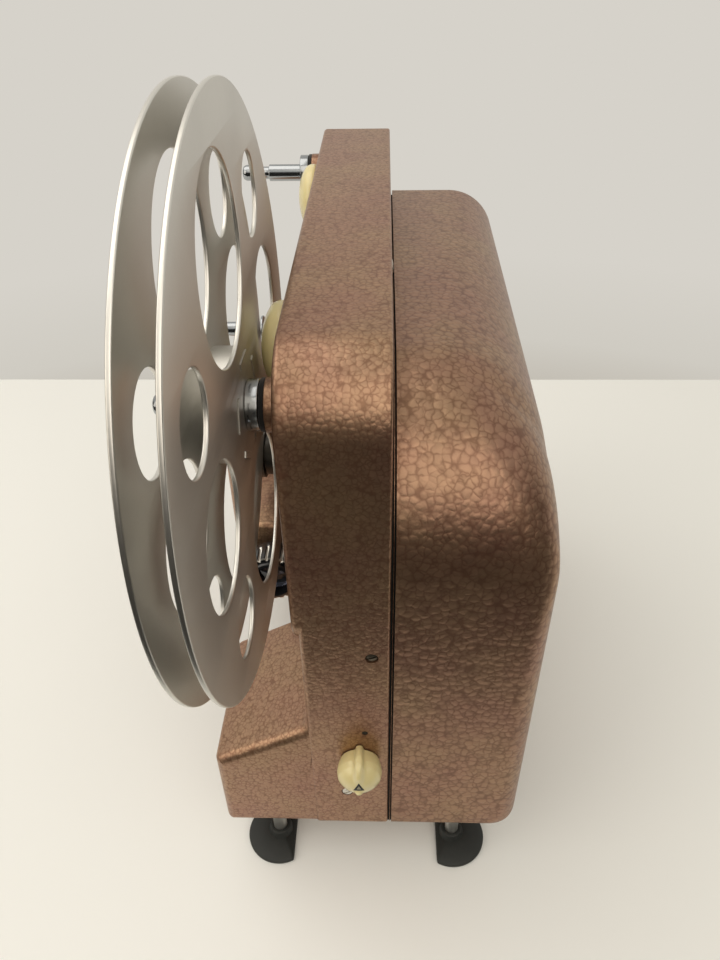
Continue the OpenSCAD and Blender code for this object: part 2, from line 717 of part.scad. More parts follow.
// Bracket that holds lamp, condenser and reflector on the casting
module lamp_bracket() color("#5c5d5f") at() difference() {
  union() {
    box(face_x - 2, lamp_y + 3, lamp_z + 5, face_x, lamp_y + lamp_l - 4, lamp_z + lamp_h - 6);
    box(film_x - 12, lamp_y + 6, lamp_z + 5, face_x - 1, lamp_y + lamp_l - 6, lamp_z + 7);
    box(film_x - 12, lamp_y + 6, lens_z - 12, face_x - 1, lamp_y + 8, lens_z + 12);
    box(film_x - 12, lamp_y + 6, lamp_z + 6, film_x - 4, lamp_y + 8, lens_z - 11);
    box(film_x - 4, lamp_y + lamp_l - 9, lamp_z + 6, film_x + 4, lamp_y + lamp_l - 7, lens_z - 6);
    box(film_x + 2, lamp_y + lamp_l - 9, lens_z - 8, face_x - 1, lamp_y + lamp_l - 7, lens_z + 8);
  }
  cy(9.5, lamp_y + 5, lamp_y + 9, film_x, lens_z);
  cz(8, lamp_z + 4, lamp_z + 8, film_x, bulb_y);
}

// Lamp socket
module lamp_socket() color("#d9d4c6") at() difference() {
  cz(8, lamp_z + 3, lamp_z + 22, film_x, bulb_y);
  cz(6, lamp_z + 8, lamp_z + 23, film_x, bulb_y);
}

// Lamp with its brass cap in one piece
module lamp_bulb() color([0.9, 0.92, 0.95, 0.5]) at() union() {
  cz(6, lamp_z + 8, lamp_z + 30, film_x, bulb_y);
  cz(11, lamp_z + 34, lens_z + 10, film_x, bulb_y);
  translate([film_x, bulb_y, lamp_z + 30]) cylinder(r1 = 6, r2 = 11, h = 4);
  intersection() {
    translate([film_x, bulb_y, lens_z + 10]) sphere(r = 11);
    cz(12, lens_z + 10, lens_z + 24, film_x, bulb_y);
  }
}

// Curved mirror behind the lamp
module reflector() color(steel) at() difference() {
  intersection() {
    translate([film_x, lamp_y + lamp_l - 39, lens_z]) sphere(r = 30);
    cy(15, lamp_y + lamp_l - 20, lamp_y + lamp_l - 8.9, film_x, lens_z);
  }
  translate([film_x, lamp_y + lamp_l - 39, lens_z]) sphere(r = 29);
}

// Condenser lens in front of the lamp
module condenser() color([0.75, 0.85, 0.95, 0.5]) at() intersection() {
  cy(9.5, lamp_y + 6, lamp_y + 14, film_x, lens_z);
  translate([film_x, lamp_y - 2.5, lens_z]) sphere(r = 16);
}

// Three-bladed shutter
module shutter() color(dark) at() translate([main_x, shutter_y, lens_z]) rotate([-90, 0, 0])
  linear_extrude(height = shutter_t) difference() {
    circle(r = shutter_r);
    circle(r = 3);
    for (k = [0:2]) rotate(k*120 + 148) difference() {
      polygon([[0, 0], [60, -34], [60, 34]]);
      circle(r = 14);
    }
  }

// Main shaft with its worm, cam and belt pulley
module main_shaft() color(steel) at() difference() {
  union() {
    cy(3, 66, 214, main_x, lens_z);
    cy(drive_r + 1.5, belt_y - 4, belt_y + 4, main_x, lens_z);
    for (k = [-2:2]) cy(worm_r, wheel_y - 1 + k*2.8, wheel_y + 0.6 + k*2.8, main_x, lens_z);
    cy(worm_r - 1.4, wheel_y - 8, wheel_y + 8, main_x, lens_z);
    cy(6, shutter_y + shutter_t, shutter_y + shutter_t + 6, main_x, lens_z);
    cy(7, gate_y - 5.6, gate_y + 0.4, main_x, lens_z);
  }
  difference() {
    cy(drive_r + 3, belt_y - 2, belt_y + 2, main_x, lens_z);
    cy(drive_r, belt_y - 3, belt_y + 3, main_x, lens_z);
  }
}

// Fibre wheel that the worm turns
module worm_wheel() color("#8a5f3a") at() difference() {
  union() {
    cx(wheel_r, main_x - 2.5, main_x + 2.5, wheel_y, wheel_z);
    cx(wheel_hub_r, in_x + 5, -5, wheel_y, wheel_z);
  }
  for (k = [0:35]) translate([main_x - 3, wheel_y, wheel_z]) rotate([k*10, 0, 0])
    translate([0, wheel_r - 1.8, -1]) cube([6, 3, 2]);
  cx(3, in_x, 0, wheel_y, wheel_z);
  for (k = [0:4]) translate([main_x - 3, wheel_y, wheel_z]) rotate([k*72, 0, 0])
    translate([0, 14.5, 0]) rotate([0, 90, 0]) cylinder(r = 4.5, h = 6);
}

// Film sprocket on its shaft
module sprocket() color(steel) at() union() {
  cx(3, film_x - 6, -6, wheel_y, wheel_z);
  cx(8.8, film_x - 3.9, film_x + 3.9, wheel_y, wheel_z);
  cx(10.2, film_x + 4.6, film_x + 6.2, wheel_y, wheel_z);
  cx(10.2, film_x - 6.2, film_x - 4.6, wheel_y, wheel_z);
  cx(7.6, film_x - 5, film_x + 5, wheel_y, wheel_z);
  for (k = [0:11]) translate([film_x + 2.6, wheel_y, wheel_z]) rotate([k*30, 0, 0])
    translate([-0.5, -0.6, 8]) cube([1, 1.2, 1.9]);
}

// Flanged film roller
module roller(y, z) color(steel) at() difference() {
  union() {
    cx(4, film_x - 4.4, film_x + 4.4, y, z);
    cx(5.6, film_x + 4.2, film_x + 5.6, y, z);
    cx(5.6, film_x - 5.6, film_x - 4.2, y, z);
  }
  cx(2 + run_fit, film_x - 8, film_x + 8, y, z);
}

module upper_roller() roller(roll1_y, roll1_z);
module lower_roller() roller(roll2_y, roll2_z);

// Posts that the rollers turn on, with their screwed ends
module roller_posts() color(steel) at() {
  for (p = [[roll1_y, roll1_z, deck_x], [roll2_y, roll2_z, face_x]]) {
    cx(4, film_x + 6.2, p[2], p[0], p[1]);
    cx(2, film_x - 7, film_x + 6.3, p[0], p[1]);
    cx(3, film_x - 21, film_x - 6.2, p[0], p[1]);
  }
}

// Motor: laminated stator between two end caps, on its feet
module motor() color("#3f4346") at() difference() {
  union() {
    slab_y(motor_y + (motor_l - stack_l)/2, motor_y + (motor_l + stack_l)/2)
      rr(motor_x - stack_h, motor_z - stack_h, motor_x + stack_h, motor_z + stack_h, 5, 5, 5, 5);
    cy(stack_h - 4, motor_y, motor_y + motor_l, motor_x, motor_z);
    cy(8, motor_y - 4, motor_y + motor_l + 4, motor_x, motor_z);
    for (y = [motor_y + 1, motor_y + motor_l - 6]) {
      box(0, y, motor_z - stack_h + 1, motor_x - stack_h + 3, y + 5, motor_z - stack_h + 9);
      box(0, y, motor_z + stack_h - 9, motor_x - stack_h + 3, y + 5, motor_z + stack_h - 1);
      box(motor_x - stack_h - 1, y, motor_z - stack_h + 1, motor_x - 10, y + 5, motor_z + stack_h - 1);
    }
  }
  cy(2.5 + run_fit, motor_y - 5, motor_y + motor_l + 5, motor_x, motor_z);
}

// Motor shaft with pulley and fan
module motor_rotor() color("#a9adb0") at() difference() {
  union() {
    cy(2.5, belt_y - 6, fan_y + fan_l + 2, motor_x, motor_z);
    cy(motor_pulley_r + 1.5, belt_y - 4, belt_y + 4, motor_x, motor_z);
    cy(6, fan_y - 1, fan_y + fan_l, motor_x, motor_z);
    for (k = [0:7]) translate([motor_x, fan_y, motor_z]) rotate([0, k*45, 0])
      translate([4, 0, -0.6]) cube([fan_r - 4, fan_l - 0.5, 1.2]);
    cy(fan_r, fan_y + fan_l - 1, fan_y + fan_l, motor_x, motor_z);
  }
  difference() {
    cy(motor_pulley_r + 3, belt_y - 2, belt_y + 2, motor_x, motor_z);
    cy(motor_pulley_r, belt_y - 3, belt_y + 3, motor_x, motor_z);
  }
}

// Outline of a belt's outer face around two pulleys a distance apart
module belt_face(r1, r2, d) {
  turn = acos((r1 - r2)/d);
  n = 24;
  polygon(concat(
    [for (k = [0:n]) let (a = turn + k*(360 - 2*turn)/n) [r1*cos(a), r1*sin(a)]],
    [for (k = [0:n]) let (a = -turn + k*2*turn/n) [d + r2*cos(a), r2*sin(a)]]));
}

// Endless belt around two pulleys
module belt_loop(r1, r2, d, t) {
  difference() {
    belt_face(r1 + t, r2 + t, d);
    belt_face(r1, r2, d);
  }
}

// Belt between motor and main shaft
module motor_belt() color("#1d1d1f") at() translate([main_x, belt_y - 1.2, lens_z])
  rotate([0, atan2(lens_z - motor_z, motor_x - main_x), 0]) rotate([-90, 0, 0]) linear_extrude(height = 2.4)
  belt_loop(drive_r + belt_gap, motor_pulley_r + belt_gap,
    sqrt(pow(motor_x - main_x, 2) + pow(lens_z - motor_z, 2)), 1);

// Belt from the worm wheel's hub to the rear spindle
module takeup_belt() color("#1d1d1f") at() translate([-9.5, wheel_y, wheel_z])
  rotate([90, 0, 90]) rotate(atan2(rear_z - wheel_z, rear_y - wheel_y)) linear_extrude(height = 2)
  belt_loop(wheel_hub_r + belt_gap, reel_groove_r + belt_gap,
    sqrt(pow(rear_y - wheel_y, 2) + pow(rear_z - wheel_z, 2)), 1);

// Iron core of the transformer
module transformer_core() color("#4b4d50") at() difference() {
  box(0, core_y, core_z, core_w, core_y + core_l, core_z + core_h);
  for (k = [0, 1]) translate([0, core_y + core_t + k*(core_win + core_t), 0])
    box(-1, 0, core_z + 10, core_w + 1, core_win, core_z + core_h - 10);
}

// Windings of the transformer
module transformer_coil() color("#a5622f") at() difference() {
  box(2, core_y + core_t + 0.2, core_z + 10.2, core_w + 4, core_y + core_l - core_t - 0.2,
    core_z + core_h - 10.2);
  box(-1, core_y + core_t + core_win - 0.2, core_z + 9, core_w + 0.2, core_y + 2*core_t + core_win + 0.2,
    core_z + core_h - 9);
}

// Mains inlet at the rear end
module mains_inlet() color(dark) at() union() {
  difference() {
    box(hood_x + 16, body_l - 14, bottom_z + 14, hood_x + 38, body_l - 0.5, bottom_z + 30);
    box(hood_x + 18, body_l - 10, bottom_z + 16, hood_x + 36, body_l + 1, bottom_z + 28);
  }
  for (x = [22.5, 31.5]) cy(2, body_l - 11, body_l - 2, hood_x + x, bottom_z + 22);
}

casting();
film_deck();
mechanism_plate();
seam_gasket();
hood();
outrigger();
front_screws();
hood_screws();
index_dot();
foot_pad_front_left();
foot_pad_front_right();
foot_pad_rear_left();
foot_pad_rear_right();
foot_stems();
front_bush();
front_washer();
front_spindle();
front_collar();
front_pulley();
reel_flange_inner();
reel_flange_outer();
reel_hub();
rear_bush();
rear_washer();
rear_spindle();
rear_collar();
rear_pulley();
front_tension_knob();
rear_tension_knob();
speed_knob();
knob_pointer();
knob_shaft();
rheostat();
lens_block();
pressure_plate();
lens_barrel();
focus_ring();
lens_glass();
gate_frame();
gate_rods();
lamp_house();
lamp_bracket();
lamp_socket();
lamp_bulb();
reflector();
condenser();
shutter();
main_shaft();
worm_wheel();
sprocket();
upper_roller();
lower_roller();
roller_posts();
motor();
motor_rotor();
motor_belt();
takeup_belt();
transformer_core();
transformer_coil();
mains_inlet();
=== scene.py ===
# %% [markdown]
# # A home movie projector in hammertone enamel
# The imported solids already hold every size, hinge and slide of the projector. This lesson dresses them:
# it works out new surfaces where paint, rounding and wear show, and gives every piece a finish of its own.
# The frame comes first, because each new piece rides on one of its bodies.

import math

import bmesh
import bpy
import numpy as np
from mathutils import Matrix, Vector


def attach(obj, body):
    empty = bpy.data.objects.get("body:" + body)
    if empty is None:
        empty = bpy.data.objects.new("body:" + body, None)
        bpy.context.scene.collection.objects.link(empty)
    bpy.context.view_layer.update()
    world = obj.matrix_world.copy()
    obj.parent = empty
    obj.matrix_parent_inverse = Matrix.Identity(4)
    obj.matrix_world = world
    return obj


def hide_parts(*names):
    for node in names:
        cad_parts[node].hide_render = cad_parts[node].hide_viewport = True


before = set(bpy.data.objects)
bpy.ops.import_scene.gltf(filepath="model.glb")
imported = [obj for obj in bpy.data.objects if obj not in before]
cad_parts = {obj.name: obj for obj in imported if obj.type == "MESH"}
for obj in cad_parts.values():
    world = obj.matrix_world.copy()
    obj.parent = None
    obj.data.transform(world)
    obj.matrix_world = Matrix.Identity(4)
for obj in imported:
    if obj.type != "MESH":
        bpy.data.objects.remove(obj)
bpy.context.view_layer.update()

# %% [markdown]
# ## Counting like the drawing
# The drawing counts millimetres from three plain places: the seam face of the casting, its front end and
# the table. The frame counts metres from the middle of the whole box. One function goes from the first to
# the second, so every later number can be read off the projector with a ruler. Another puts a new object
# into the scene, where it stays at the origin.

# %% Drawing millimetres
MIDDLE = np.array([-13.8, 90.0, 0.0])


def metres(points):
    """Drawing millimetres to frame metres: take the drawing's middle away, then divide by a thousand."""
    return (np.asarray(points, float) - MIDDLE) / 1000


def linked(name, data):
    """A new object in the scene that carries this mesh, curve, camera or lamp."""
    made = bpy.data.objects.new(name, data)
    bpy.context.scene.collection.objects.link(made)
    return made


print("drawing origin in the frame:", metres([0, 0, 0]).round(4))

# %% [markdown]
# ## The camera
# The photograph looks down on the lens end from a little above the reel, with a wide lens held close, so
# upright edges lean together toward the floor. The camera stands where the two reel flanges and the body's
# edges say it stood, with the same slight roll.

# %% Camera
SENSOR_MM = 36
PHOTO_FOCUS_PX, PHOTO_HIGH_PX = 740, 960
PHOTO_LENS_MM = PHOTO_FOCUS_PX / PHOTO_HIGH_PX * SENSOR_MM
CAMERA_PLACE = metres([-2.88, -169.41, 338.19])
camera_right = np.array([0.99953, 0.02714, -0.0145])
camera_back = -np.array([-0.0304, 0.8033, -0.5948])
camera_back = camera_back / np.linalg.norm(camera_back)
camera_up = np.cross(camera_back, camera_right)
camera_up = camera_up / np.linalg.norm(camera_up)
camera_right = np.cross(camera_up, camera_back)
camera_data = bpy.data.cameras.new("photo_camera")
camera_data.lens = PHOTO_LENS_MM
camera_data.sensor_width = SENSOR_MM
camera_data.clip_start = 0.01
camera = linked("photo_camera", camera_data)
turn = np.column_stack([camera_right, camera_up, camera_back])
camera.matrix_world = Matrix.Translation(Vector(CAMERA_PLACE)) @ Matrix(turn.tolist()).to_4x4()
bpy.context.scene.camera = camera
print("camera lens", round(PHOTO_LENS_MM, 2), "mm, pitch",
      round(math.degrees(math.asin(camera_back[2])), 1), "degrees down")

# %% [markdown]
# ## Colour and nodes
# Finishes are written as the sRGB hex values that an eye would pick, and one function turns them into the
# linear numbers that light works with. A second small function joins inputs to what feeds them, and a third
# adds a shader node with its settings, its fixed inputs and its links, so each finish reads like a recipe.

# %% Colour and node helpers
def linear(hex_colour):
    """sRGB hex to linear light: up to 0.04045 divide by 12.92, above take ((c + 0.055)/1.055) to the 2.4."""
    c = np.array([int(hex_colour[i:i + 2], 16) for i in (1, 3, 5)]) / 255
    lin = np.where(c <= 0.04045, c / 12.92, ((c + 0.055) / 1.055) ** 2.4)
    return (*lin.tolist(), 1.0)


def feed(tree, node, links):
    """Joins inputs to what feeds them: an output, or a node, which then gives its first output."""
    for key, source in links.items():
        tree.links.new(source.outputs[0] if hasattr(source, "outputs") else source, node.inputs[key])


def add(tree, kind, values=None, links=None, **settings):
    """One shader node: settings are its own choices, values its fixed inputs, links what feeds it."""
    made = tree.nodes.new("ShaderNode" + kind)
    for key, value in settings.items():
        setattr(made, key, value)
    for key, value in (values or {}).items():
        made.inputs[key].default_value = value
    feed(tree, made, links or {})
    return made


def finish_named(name, **sockets):
    """A new material whose Principled shader has these fixed sockets; gives material, tree and shader."""
    made = bpy.data.materials.new(name)
    made.use_nodes = True
    shader = made.node_tree.nodes["Principled BSDF"]
    for key, value in sockets.items():
        shader.inputs[key.replace("_", " ")].default_value = value
    return made, made.node_tree, shader


def ramp(tree, source, stops):
    """A colour ramp through (place, colour) stops."""
    made = add(tree, "ValToRGB", links={"Fac": source})
    bar = made.color_ramp.elements
    while len(bar) < len(stops):
        bar.new(0.5)
    for element, (place, colour) in zip(bar, stops):
        element.position, element.color = place, colour
    return made


print("helpers ready; mid grey is", round(linear("#808080")[0], 3), "in linear light")

# %% [markdown]
# ## Hammertone enamel
# The body wears hammer-finish enamel: aluminium flake floats in a brown lacquer, and a drop of silicone
# pulls the wet film into round scales, each ringed by a thin darker crease. A Voronoi pattern draws the same
# thing, because it too grows cells until they meet. Its distances to the nearest edge and to the cell's
# centre give the crease, its cell colour the small difference from one scale to the next, and a smoothed
# distance to the centre domes each scale in bump. One noise bends the straight cell edges first, and a
# second lets a crease fade out here and there, as it does where two scales ran together.

# %% Hammertone enamel
def hammertone(name, cell_mm, flake, crease, relief_mm):
    """Enamel in scales cell_mm across: flake in their middles, crease in the gaps. A gap is where a cell's
    edge is near or its centre is far, which rounds the corners, and a slow noise joins some neighbours."""
    made, tree, shader = finish_named(name, Roughness=0.38, Coat_Weight=0.06, Coat_Roughness=0.3)
    place = add(tree, "TexCoord").outputs["Object"]
    wander = add(tree, "TexNoise", {"Scale": 1000 / (cell_mm * 1.2), "Detail": 2.0}, {"Vector": place})
    pull = add(tree, "VectorMath", {1: (0.5, 0.5, 0.5)}, {0: wander.outputs["Color"]}, operation="SUBTRACT")
    pulled = add(tree, "VectorMath", {"Scale": cell_mm * 0.0009}, {0: pull}, operation="SCALE")
    moved = add(tree, "VectorMath", None, {0: place, 1: pulled}, operation="ADD")
    cells = {"Scale": 1000 / cell_mm, "Randomness": 0.9}
    edge, cell, swell = [add(tree, "TexVoronoi", cells, {"Vector": moved}, feature=kind)
                         for kind in ("DISTANCE_TO_EDGE", "F1", "SMOOTH_F1")]
    swell.inputs["Smoothness"].default_value = 0.3
    fade = add(tree, "TexNoise", {"Scale": 1000 / (cell_mm * 1.3), "Detail": 1.0}, {"Vector": place})
    lost = add(tree, "MapRange", {"From Min": 0.45, "From Max": 0.7, "To Max": 0.14}, {"Value": fade})
    joined = add(tree, "Math", None, {0: edge, 1: lost}, operation="ADD")
    inside = add(tree, "MapRange", {"From Min": 0.35, "From Max": 0.82, "To Min": 0.3, "To Max": 0.0},
                 {"Value": cell})
    drawn = add(tree, "Math", {2: 0.12}, {0: joined, 1: inside}, operation="SMOOTH_MIN")
    between = tuple(0.5 * np.array(linear(crease)) + 0.5 * np.array(linear(flake)))
    tone = ramp(tree, drawn, [(0.0, linear(crease)), (0.08, between), (0.2, linear(flake))])
    flaky = add(tree, "MapRange", {"From Max": 0.2, "To Min": 0.76, "To Max": 0.86}, {"Value": drawn})
    cloud = add(tree, "TexNoise", {"Scale": 1000 / 24, "Detail": 4.0}, {"Vector": place})
    spread = add(tree, "MapRange", {"To Min": 0.9, "To Max": 1.08}, {"Value": cell.outputs["Color"]})
    broad, tint = [add(tree, "MapRange", {"From Min": 0.3, "From Max": 0.7, "To Min": low, "To Max": high},
                       {"Value": cloud}) for low, high in ((0.95, 1.04), (0.49, 0.51))]
    both = add(tree, "Math", None, {0: spread, 1: broad}, operation="MULTIPLY")
    each = add(tree, "HueSaturation", None, {"Color": tone, "Value": both, "Hue": tint})
    dome = add(tree, "MapRange", {"From Min": 0.7, "From Max": 0.1}, {"Value": swell},
               interpolation_type="SMOOTHSTEP")
    bump = add(tree, "Bump", {"Strength": 0.6, "Distance": relief_mm / 1000}, {"Height": dome})
    feed(tree, shader, {"Base Color": each, "Metallic": flaky, "Normal": bump})
    return made


# Both enamels are the same paint. The casting's copy is lighter, as painted light, and the hood's copy darker,
# as painted shade; their different scale sizes and reliefs are the paint's own.
HOOD_ENAMEL_SHADED = hammertone("hammertone_enamel_hood_shaded", 2.7, "#A5836B", "#82614D", 0.13)
CASTING_ENAMEL_LIT = hammertone("hammertone_enamel_casting_lit", 1.8, "#AC8970", "#8A6752", 0.085)
print("hammertone: hood scales 2.7 mm, casting scales 1.8 mm")

# %% [markdown]
# ## Metals
# The reel is aluminium sheet, etched to a dull pale grey. Its cut edges get a brighter, smoother metal:
# partly the bare metal of the cut, partly a painted highlight for the light that the rims catch. Spindles,
# collars and rollers are chromed steel, the inner shafts plain turned steel, the sprocket black oxide and the
# bushes brass. All are metals, so the shader's default refraction stays and only colour, roughness and a fine
# grain change. A true etch grain is too fine to see at this distance, so it is drawn at half a millimetre.

# %% Metals
def metal(name, hex_colour, roughness, grain_mm, unevenness, grain_depth_mm=0.01):
    """Metal with a fine grain of that size: noise shifts its roughness and lifts its surface a little."""
    made, tree, shader = finish_named(name, Metallic=1.0)
    place = add(tree, "TexCoord").outputs["Object"]
    grain = add(tree, "TexNoise", {"Scale": 1000 / grain_mm, "Detail": 2.0}, {"Vector": place})
    stain = add(tree, "TexNoise", {"Scale": 1000 / 35, "Detail": 4.0}, {"Vector": place})
    dull = np.array(linear(hex_colour))
    tone = ramp(tree, stain, [(0.35, (*(dull[:3] * (1 - unevenness)), 1.0)), (0.65, tuple(dull))])
    rough = add(tree, "MapRange", {"To Min": roughness * 0.8, "To Max": roughness * 1.2}, {"Value": grain})
    bump = add(tree, "Bump", {"Strength": 0.25, "Distance": grain_depth_mm / 1000}, {"Height": grain})
    feed(tree, shader, {"Base Color": tone, "Roughness": rough, "Normal": bump})
    return made


REEL_SHEET = metal("etched_aluminium_sheet", "#DDDBD5", 0.46, 0.5, 0.08)
# Brighter and smoother than the sheet: bare cut metal, and in part a painted highlight on rims and scallops.
CUT_EDGE_AND_HIGHLIGHT = metal("cut_aluminium_edge_and_highlight", "#E6E4DE", 0.36, 0.6, 0.04)
CHROME = metal("chromed_steel", "#A9ADB1", 0.16, 0.8, 0.08, 0.004)
STEEL = metal("turned_steel", "#A9ABAC", 0.34, 0.7, 0.14)
OXIDE_STEEL = metal("black_oxide_steel", "#4A4743", 0.4, 0.7, 0.2)
DARK_SCREW_STEEL = metal("dark_screw_steel", "#7E776A", 0.42, 0.7, 0.2)
NICKELLED = metal("nickelled_steel", "#DCD9D0", 0.3, 0.7, 0.1)
STEM_ZINC = metal("zinc_plated_steel", "#D2D2CE", 0.4, 0.7, 0.12)
BRASS = metal("drawn_brass", "#B99550", 0.3, 0.7, 0.15)
MIRROR = metal("silvered_mirror", "#E8E9EA", 0.05, 1.0, 0.02, 0.001)
LAMINATION = metal("stamped_iron_laminations", "#6C6E70", 0.5, 0.9, 0.2)
print("metals: 11 finishes")

# %% [markdown]
# ## Mouldings, rubber, paint and glass
# Knobs are cast in cream urea resin, a dense plastic that lets a little light in and shines on top. Feet,
# belts and the seam strip are black rubber, dull and slightly dusty. Lens tubes and the gate are blackened
# metal. A noise in roughness and colour keeps each from looking like one flat tint.

# %% Mouldings, rubber, paint and glass
def coloured(name, hex_colour, roughness, patch_mm, contrast, relief_mm=0.0, **sockets):
    """A non-metal with soft patches: noise mixes the colour with a darker copy and shifts the roughness."""
    made, tree, shader = finish_named(name, **sockets)
    place = add(tree, "TexCoord").outputs["Object"]
    patch = add(tree, "TexNoise", {"Scale": 1000 / patch_mm, "Detail": 3.0}, {"Vector": place})
    full = np.array(linear(hex_colour))
    tone = ramp(tree, patch, [(0.3, (*(full[:3] * (1 - contrast)), 1.0)), (0.7, tuple(full))])
    rough = add(tree, "MapRange", {"To Min": roughness * 0.85, "To Max": min(1.0, roughness * 1.15)},
                {"Value": patch})
    feed(tree, shader, {"Base Color": tone, "Roughness": rough})
    if relief_mm:
        bump = add(tree, "Bump", {"Strength": 0.4, "Distance": relief_mm / 1000}, {"Height": patch})
        feed(tree, shader, {"Normal": bump})
    return made


CREAM = coloured("cast_urea_resin_cream", "#F0E3AA", 0.24, 9.0, 0.08, Coat_Weight=0.3, Coat_Roughness=0.1,
                 Subsurface_Weight=0.12, Subsurface_Radius=(0.004, 0.003, 0.0015), IOR=1.55)
RUBBER = coloured("moulded_black_rubber", "#242725", 0.6, 2.5, 0.3, 0.05, IOR=1.5)
SEAM_RUBBER = coloured("moulded_seam_rubber", "#1A1B1A", 0.8, 2.5, 0.3)
FELT = coloured("pressed_black_felt", "#18181A", 0.95, 0.7, 0.4, 0.1, Sheen_Weight=0.3)
BLACK_TUBE = coloured("black_lens_lacquer", "#141518", 0.3, 4.0, 0.25, Coat_Weight=0.4, Coat_Roughness=0.12)
BLACK_PLATE = coloured("satin_black_enamel", "#2A2B2D", 0.45, 3.0, 0.2, 0.02)
BAKELITE = coloured("moulded_bakelite", "#1D1917", 0.33, 5.0, 0.3, IOR=1.6)
FIBRE = coloured("pressed_fibre", "#7A4E2C", 0.7, 1.2, 0.3, 0.03)
WINDING = coloured("lacquered_copper_winding", "#8A4A22", 0.35, 0.8, 0.35, 0.05, Metallic=0.6)
CERAMIC = coloured("glazed_steatite", "#E2DDCF", 0.25, 6.0, 0.06, Coat_Weight=0.4)
BLACK_INK = coloured("black_paint_fill", "#0C0C0D", 0.4, 2.0, 0.2)
PALE_HEART_FILL = coloured("pale_heart_fill", "#A39E86", 0.5, 2.0, 0.15)
LENS_GLASS = coloured("coated_lens_glass", "#DDE1E6", 0.03, 8.0, 0.04, Transmission_Weight=1.0, IOR=1.52,
                      Coat_Weight=0.25, Coat_Tint=(0.72, 0.76, 1.0, 1.0))
LAMP_GLASS = coloured("clear_lamp_glass", "#EEF0EE", 0.02, 12.0, 0.02, Transmission_Weight=0.96, IOR=1.5)
print("mouldings and paints: 14 finishes")

# %% [markdown]
# ## From arrays to meshes
# Every new piece below is a grid of points: a shape with two parameters, or a profile carried along a path.
# These functions turn such a grid into quads, weld seams and poles, point the faces outwards, mark edges
# sharper than 40 degrees, and hang the piece on its body in place of the solid that it stands for.

# %% Grid to mesh
def mesh_from_grid(name, points, around=False):
    """Quads on a grid: (i, j) joins (i, j+1), (i+1, j+1) and (i+1, j); around closes the last column."""
    rows, columns = points.shape[:2]
    index = np.arange(rows * columns).reshape(rows, columns)
    if around:
        index = np.concatenate([index, index[:, :1]], axis=1)
    corners = [index[:-1, :-1], index[:-1, 1:], index[1:, 1:], index[1:, :-1]]
    quads = np.stack(corners, -1).reshape(-1, 4)
    made = bpy.data.meshes.new(name)
    made.from_pydata(metres(points.reshape(-1, 3)).tolist(), [], quads.tolist())
    return made


def settle(made, sharp_degrees=40, outward=True):
    """Welds doubles within two micrometres, drops what collapses, turns faces outwards, shades by angle."""
    work = bmesh.new()
    work.from_mesh(made)
    bmesh.ops.remove_doubles(work, verts=work.verts, dist=2e-6)
    bmesh.ops.dissolve_degenerate(work, edges=work.edges, dist=1e-6)
    if outward:
        bmesh.ops.recalc_face_normals(work, faces=work.faces)
    work.to_mesh(made)
    work.free()
    made.polygons.foreach_set("use_smooth", np.ones(len(made.polygons), bool))
    made.set_sharp_from_angle(angle=math.radians(sharp_degrees))
    return made


def closed(name, points, sharp_degrees=40):
    """A settled mesh from a grid whose last column joins its first."""
    return settle(mesh_from_grid(name, points, True), sharp_degrees)


def piece(name, made, material, body, nodes=()):
    """An object at the origin that carries this mesh, rides on a body and stands for those solids."""
    thing = linked(name, made)
    if material is not None and not made.materials:
        made.materials.append(material)
    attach(thing, body)
    if nodes:
        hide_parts(*nodes)


# %% [markdown]
# ## Reading meshes back
# Some steps need Blender's own result: the points or faces of a mesh as an array, or the mesh that modifiers
# and curve settings give. The objects that only served for that are thrown away.

# %% Reading helpers
def vectors(items, key):
    """One vector for each point or face, as the rows of an array."""
    flat = np.zeros(len(items) * 3)
    items.foreach_get(key, flat)
    return flat.reshape(-1, 3)


def baked(thing, *helpers):
    """The mesh that an object's modifiers or curve settings give; the object and its helpers are removed."""
    bpy.context.view_layer.update()
    made = bpy.data.meshes.new_from_object(thing.evaluated_get(bpy.context.evaluated_depsgraph_get()))
    for used in (thing, *helpers):
        bpy.data.objects.remove(used)
    return made


print("reading helpers ready")

# %% [markdown]
# ## Outlines, slabs and turned profiles
# Most of the projector is one of two things. A slab is a flat outline with a thickness and rounded edges, as
# a casting is; a turned piece is a profile spun about an axis, as a lathe makes it. An outline can be drawn
# again a little smaller, so an edge is rounded by stepping the outline inwards as the depth changes.

# %% Outlines, slabs and turned profiles
def outline(corners, radii, inset=0.0, steps=12):
    """Closed outline: each side moves inwards by the inset, the moved sides meet in new corners, and at each
    corner a circle touches both sides and its arc replaces the corner. An outward corner loses the inset
    from its radius and a hollow one gains it."""
    p = np.asarray(corners, float)
    side = np.roll(p, -1, 0) - p
    side /= np.linalg.norm(side, axis=1, keepdims=True)
    came = np.roll(side, 1, 0)
    way = np.sign((p[:, 0] * np.roll(p[:, 1], -1) - p[:, 1] * np.roll(p[:, 0], -1)).sum())
    inward = way * np.column_stack([-side[:, 1], side[:, 0]])
    inward_before = np.roll(inward, 1, 0)
    p = p + inset * (inward + inward_before) / (1 + (inward * inward_before).sum(1))[:, None]
    hollow = way * (came[:, 0] * side[:, 1] - came[:, 1] * side[:, 0]) < 0
    r = np.maximum(np.asarray(radii, float) + np.where(hollow, inset, -inset), 0.02)
    half = np.arccos(np.clip(-(came * side).sum(1), -1, 1)) / 2
    middle = side - came
    middle /= np.linalg.norm(middle, axis=1, keepdims=True)
    centre = p + middle * (r / np.sin(half))[:, None]
    start = p - came * (r / np.tan(half))[:, None] - centre
    end = p + side * (r / np.tan(half))[:, None] - centre
    first = np.arctan2(start[:, 1], start[:, 0])
    sweep = (np.arctan2(end[:, 1], end[:, 0]) - first + np.pi) % (2 * np.pi) - np.pi
    angle = first[:, None] + sweep[:, None] * np.linspace(0, 1, steps)[None]
    points = centre[:, None] + np.stack([np.cos(angle), np.sin(angle)], -1) * r[:, None, None]
    return points.reshape(-1, 2)


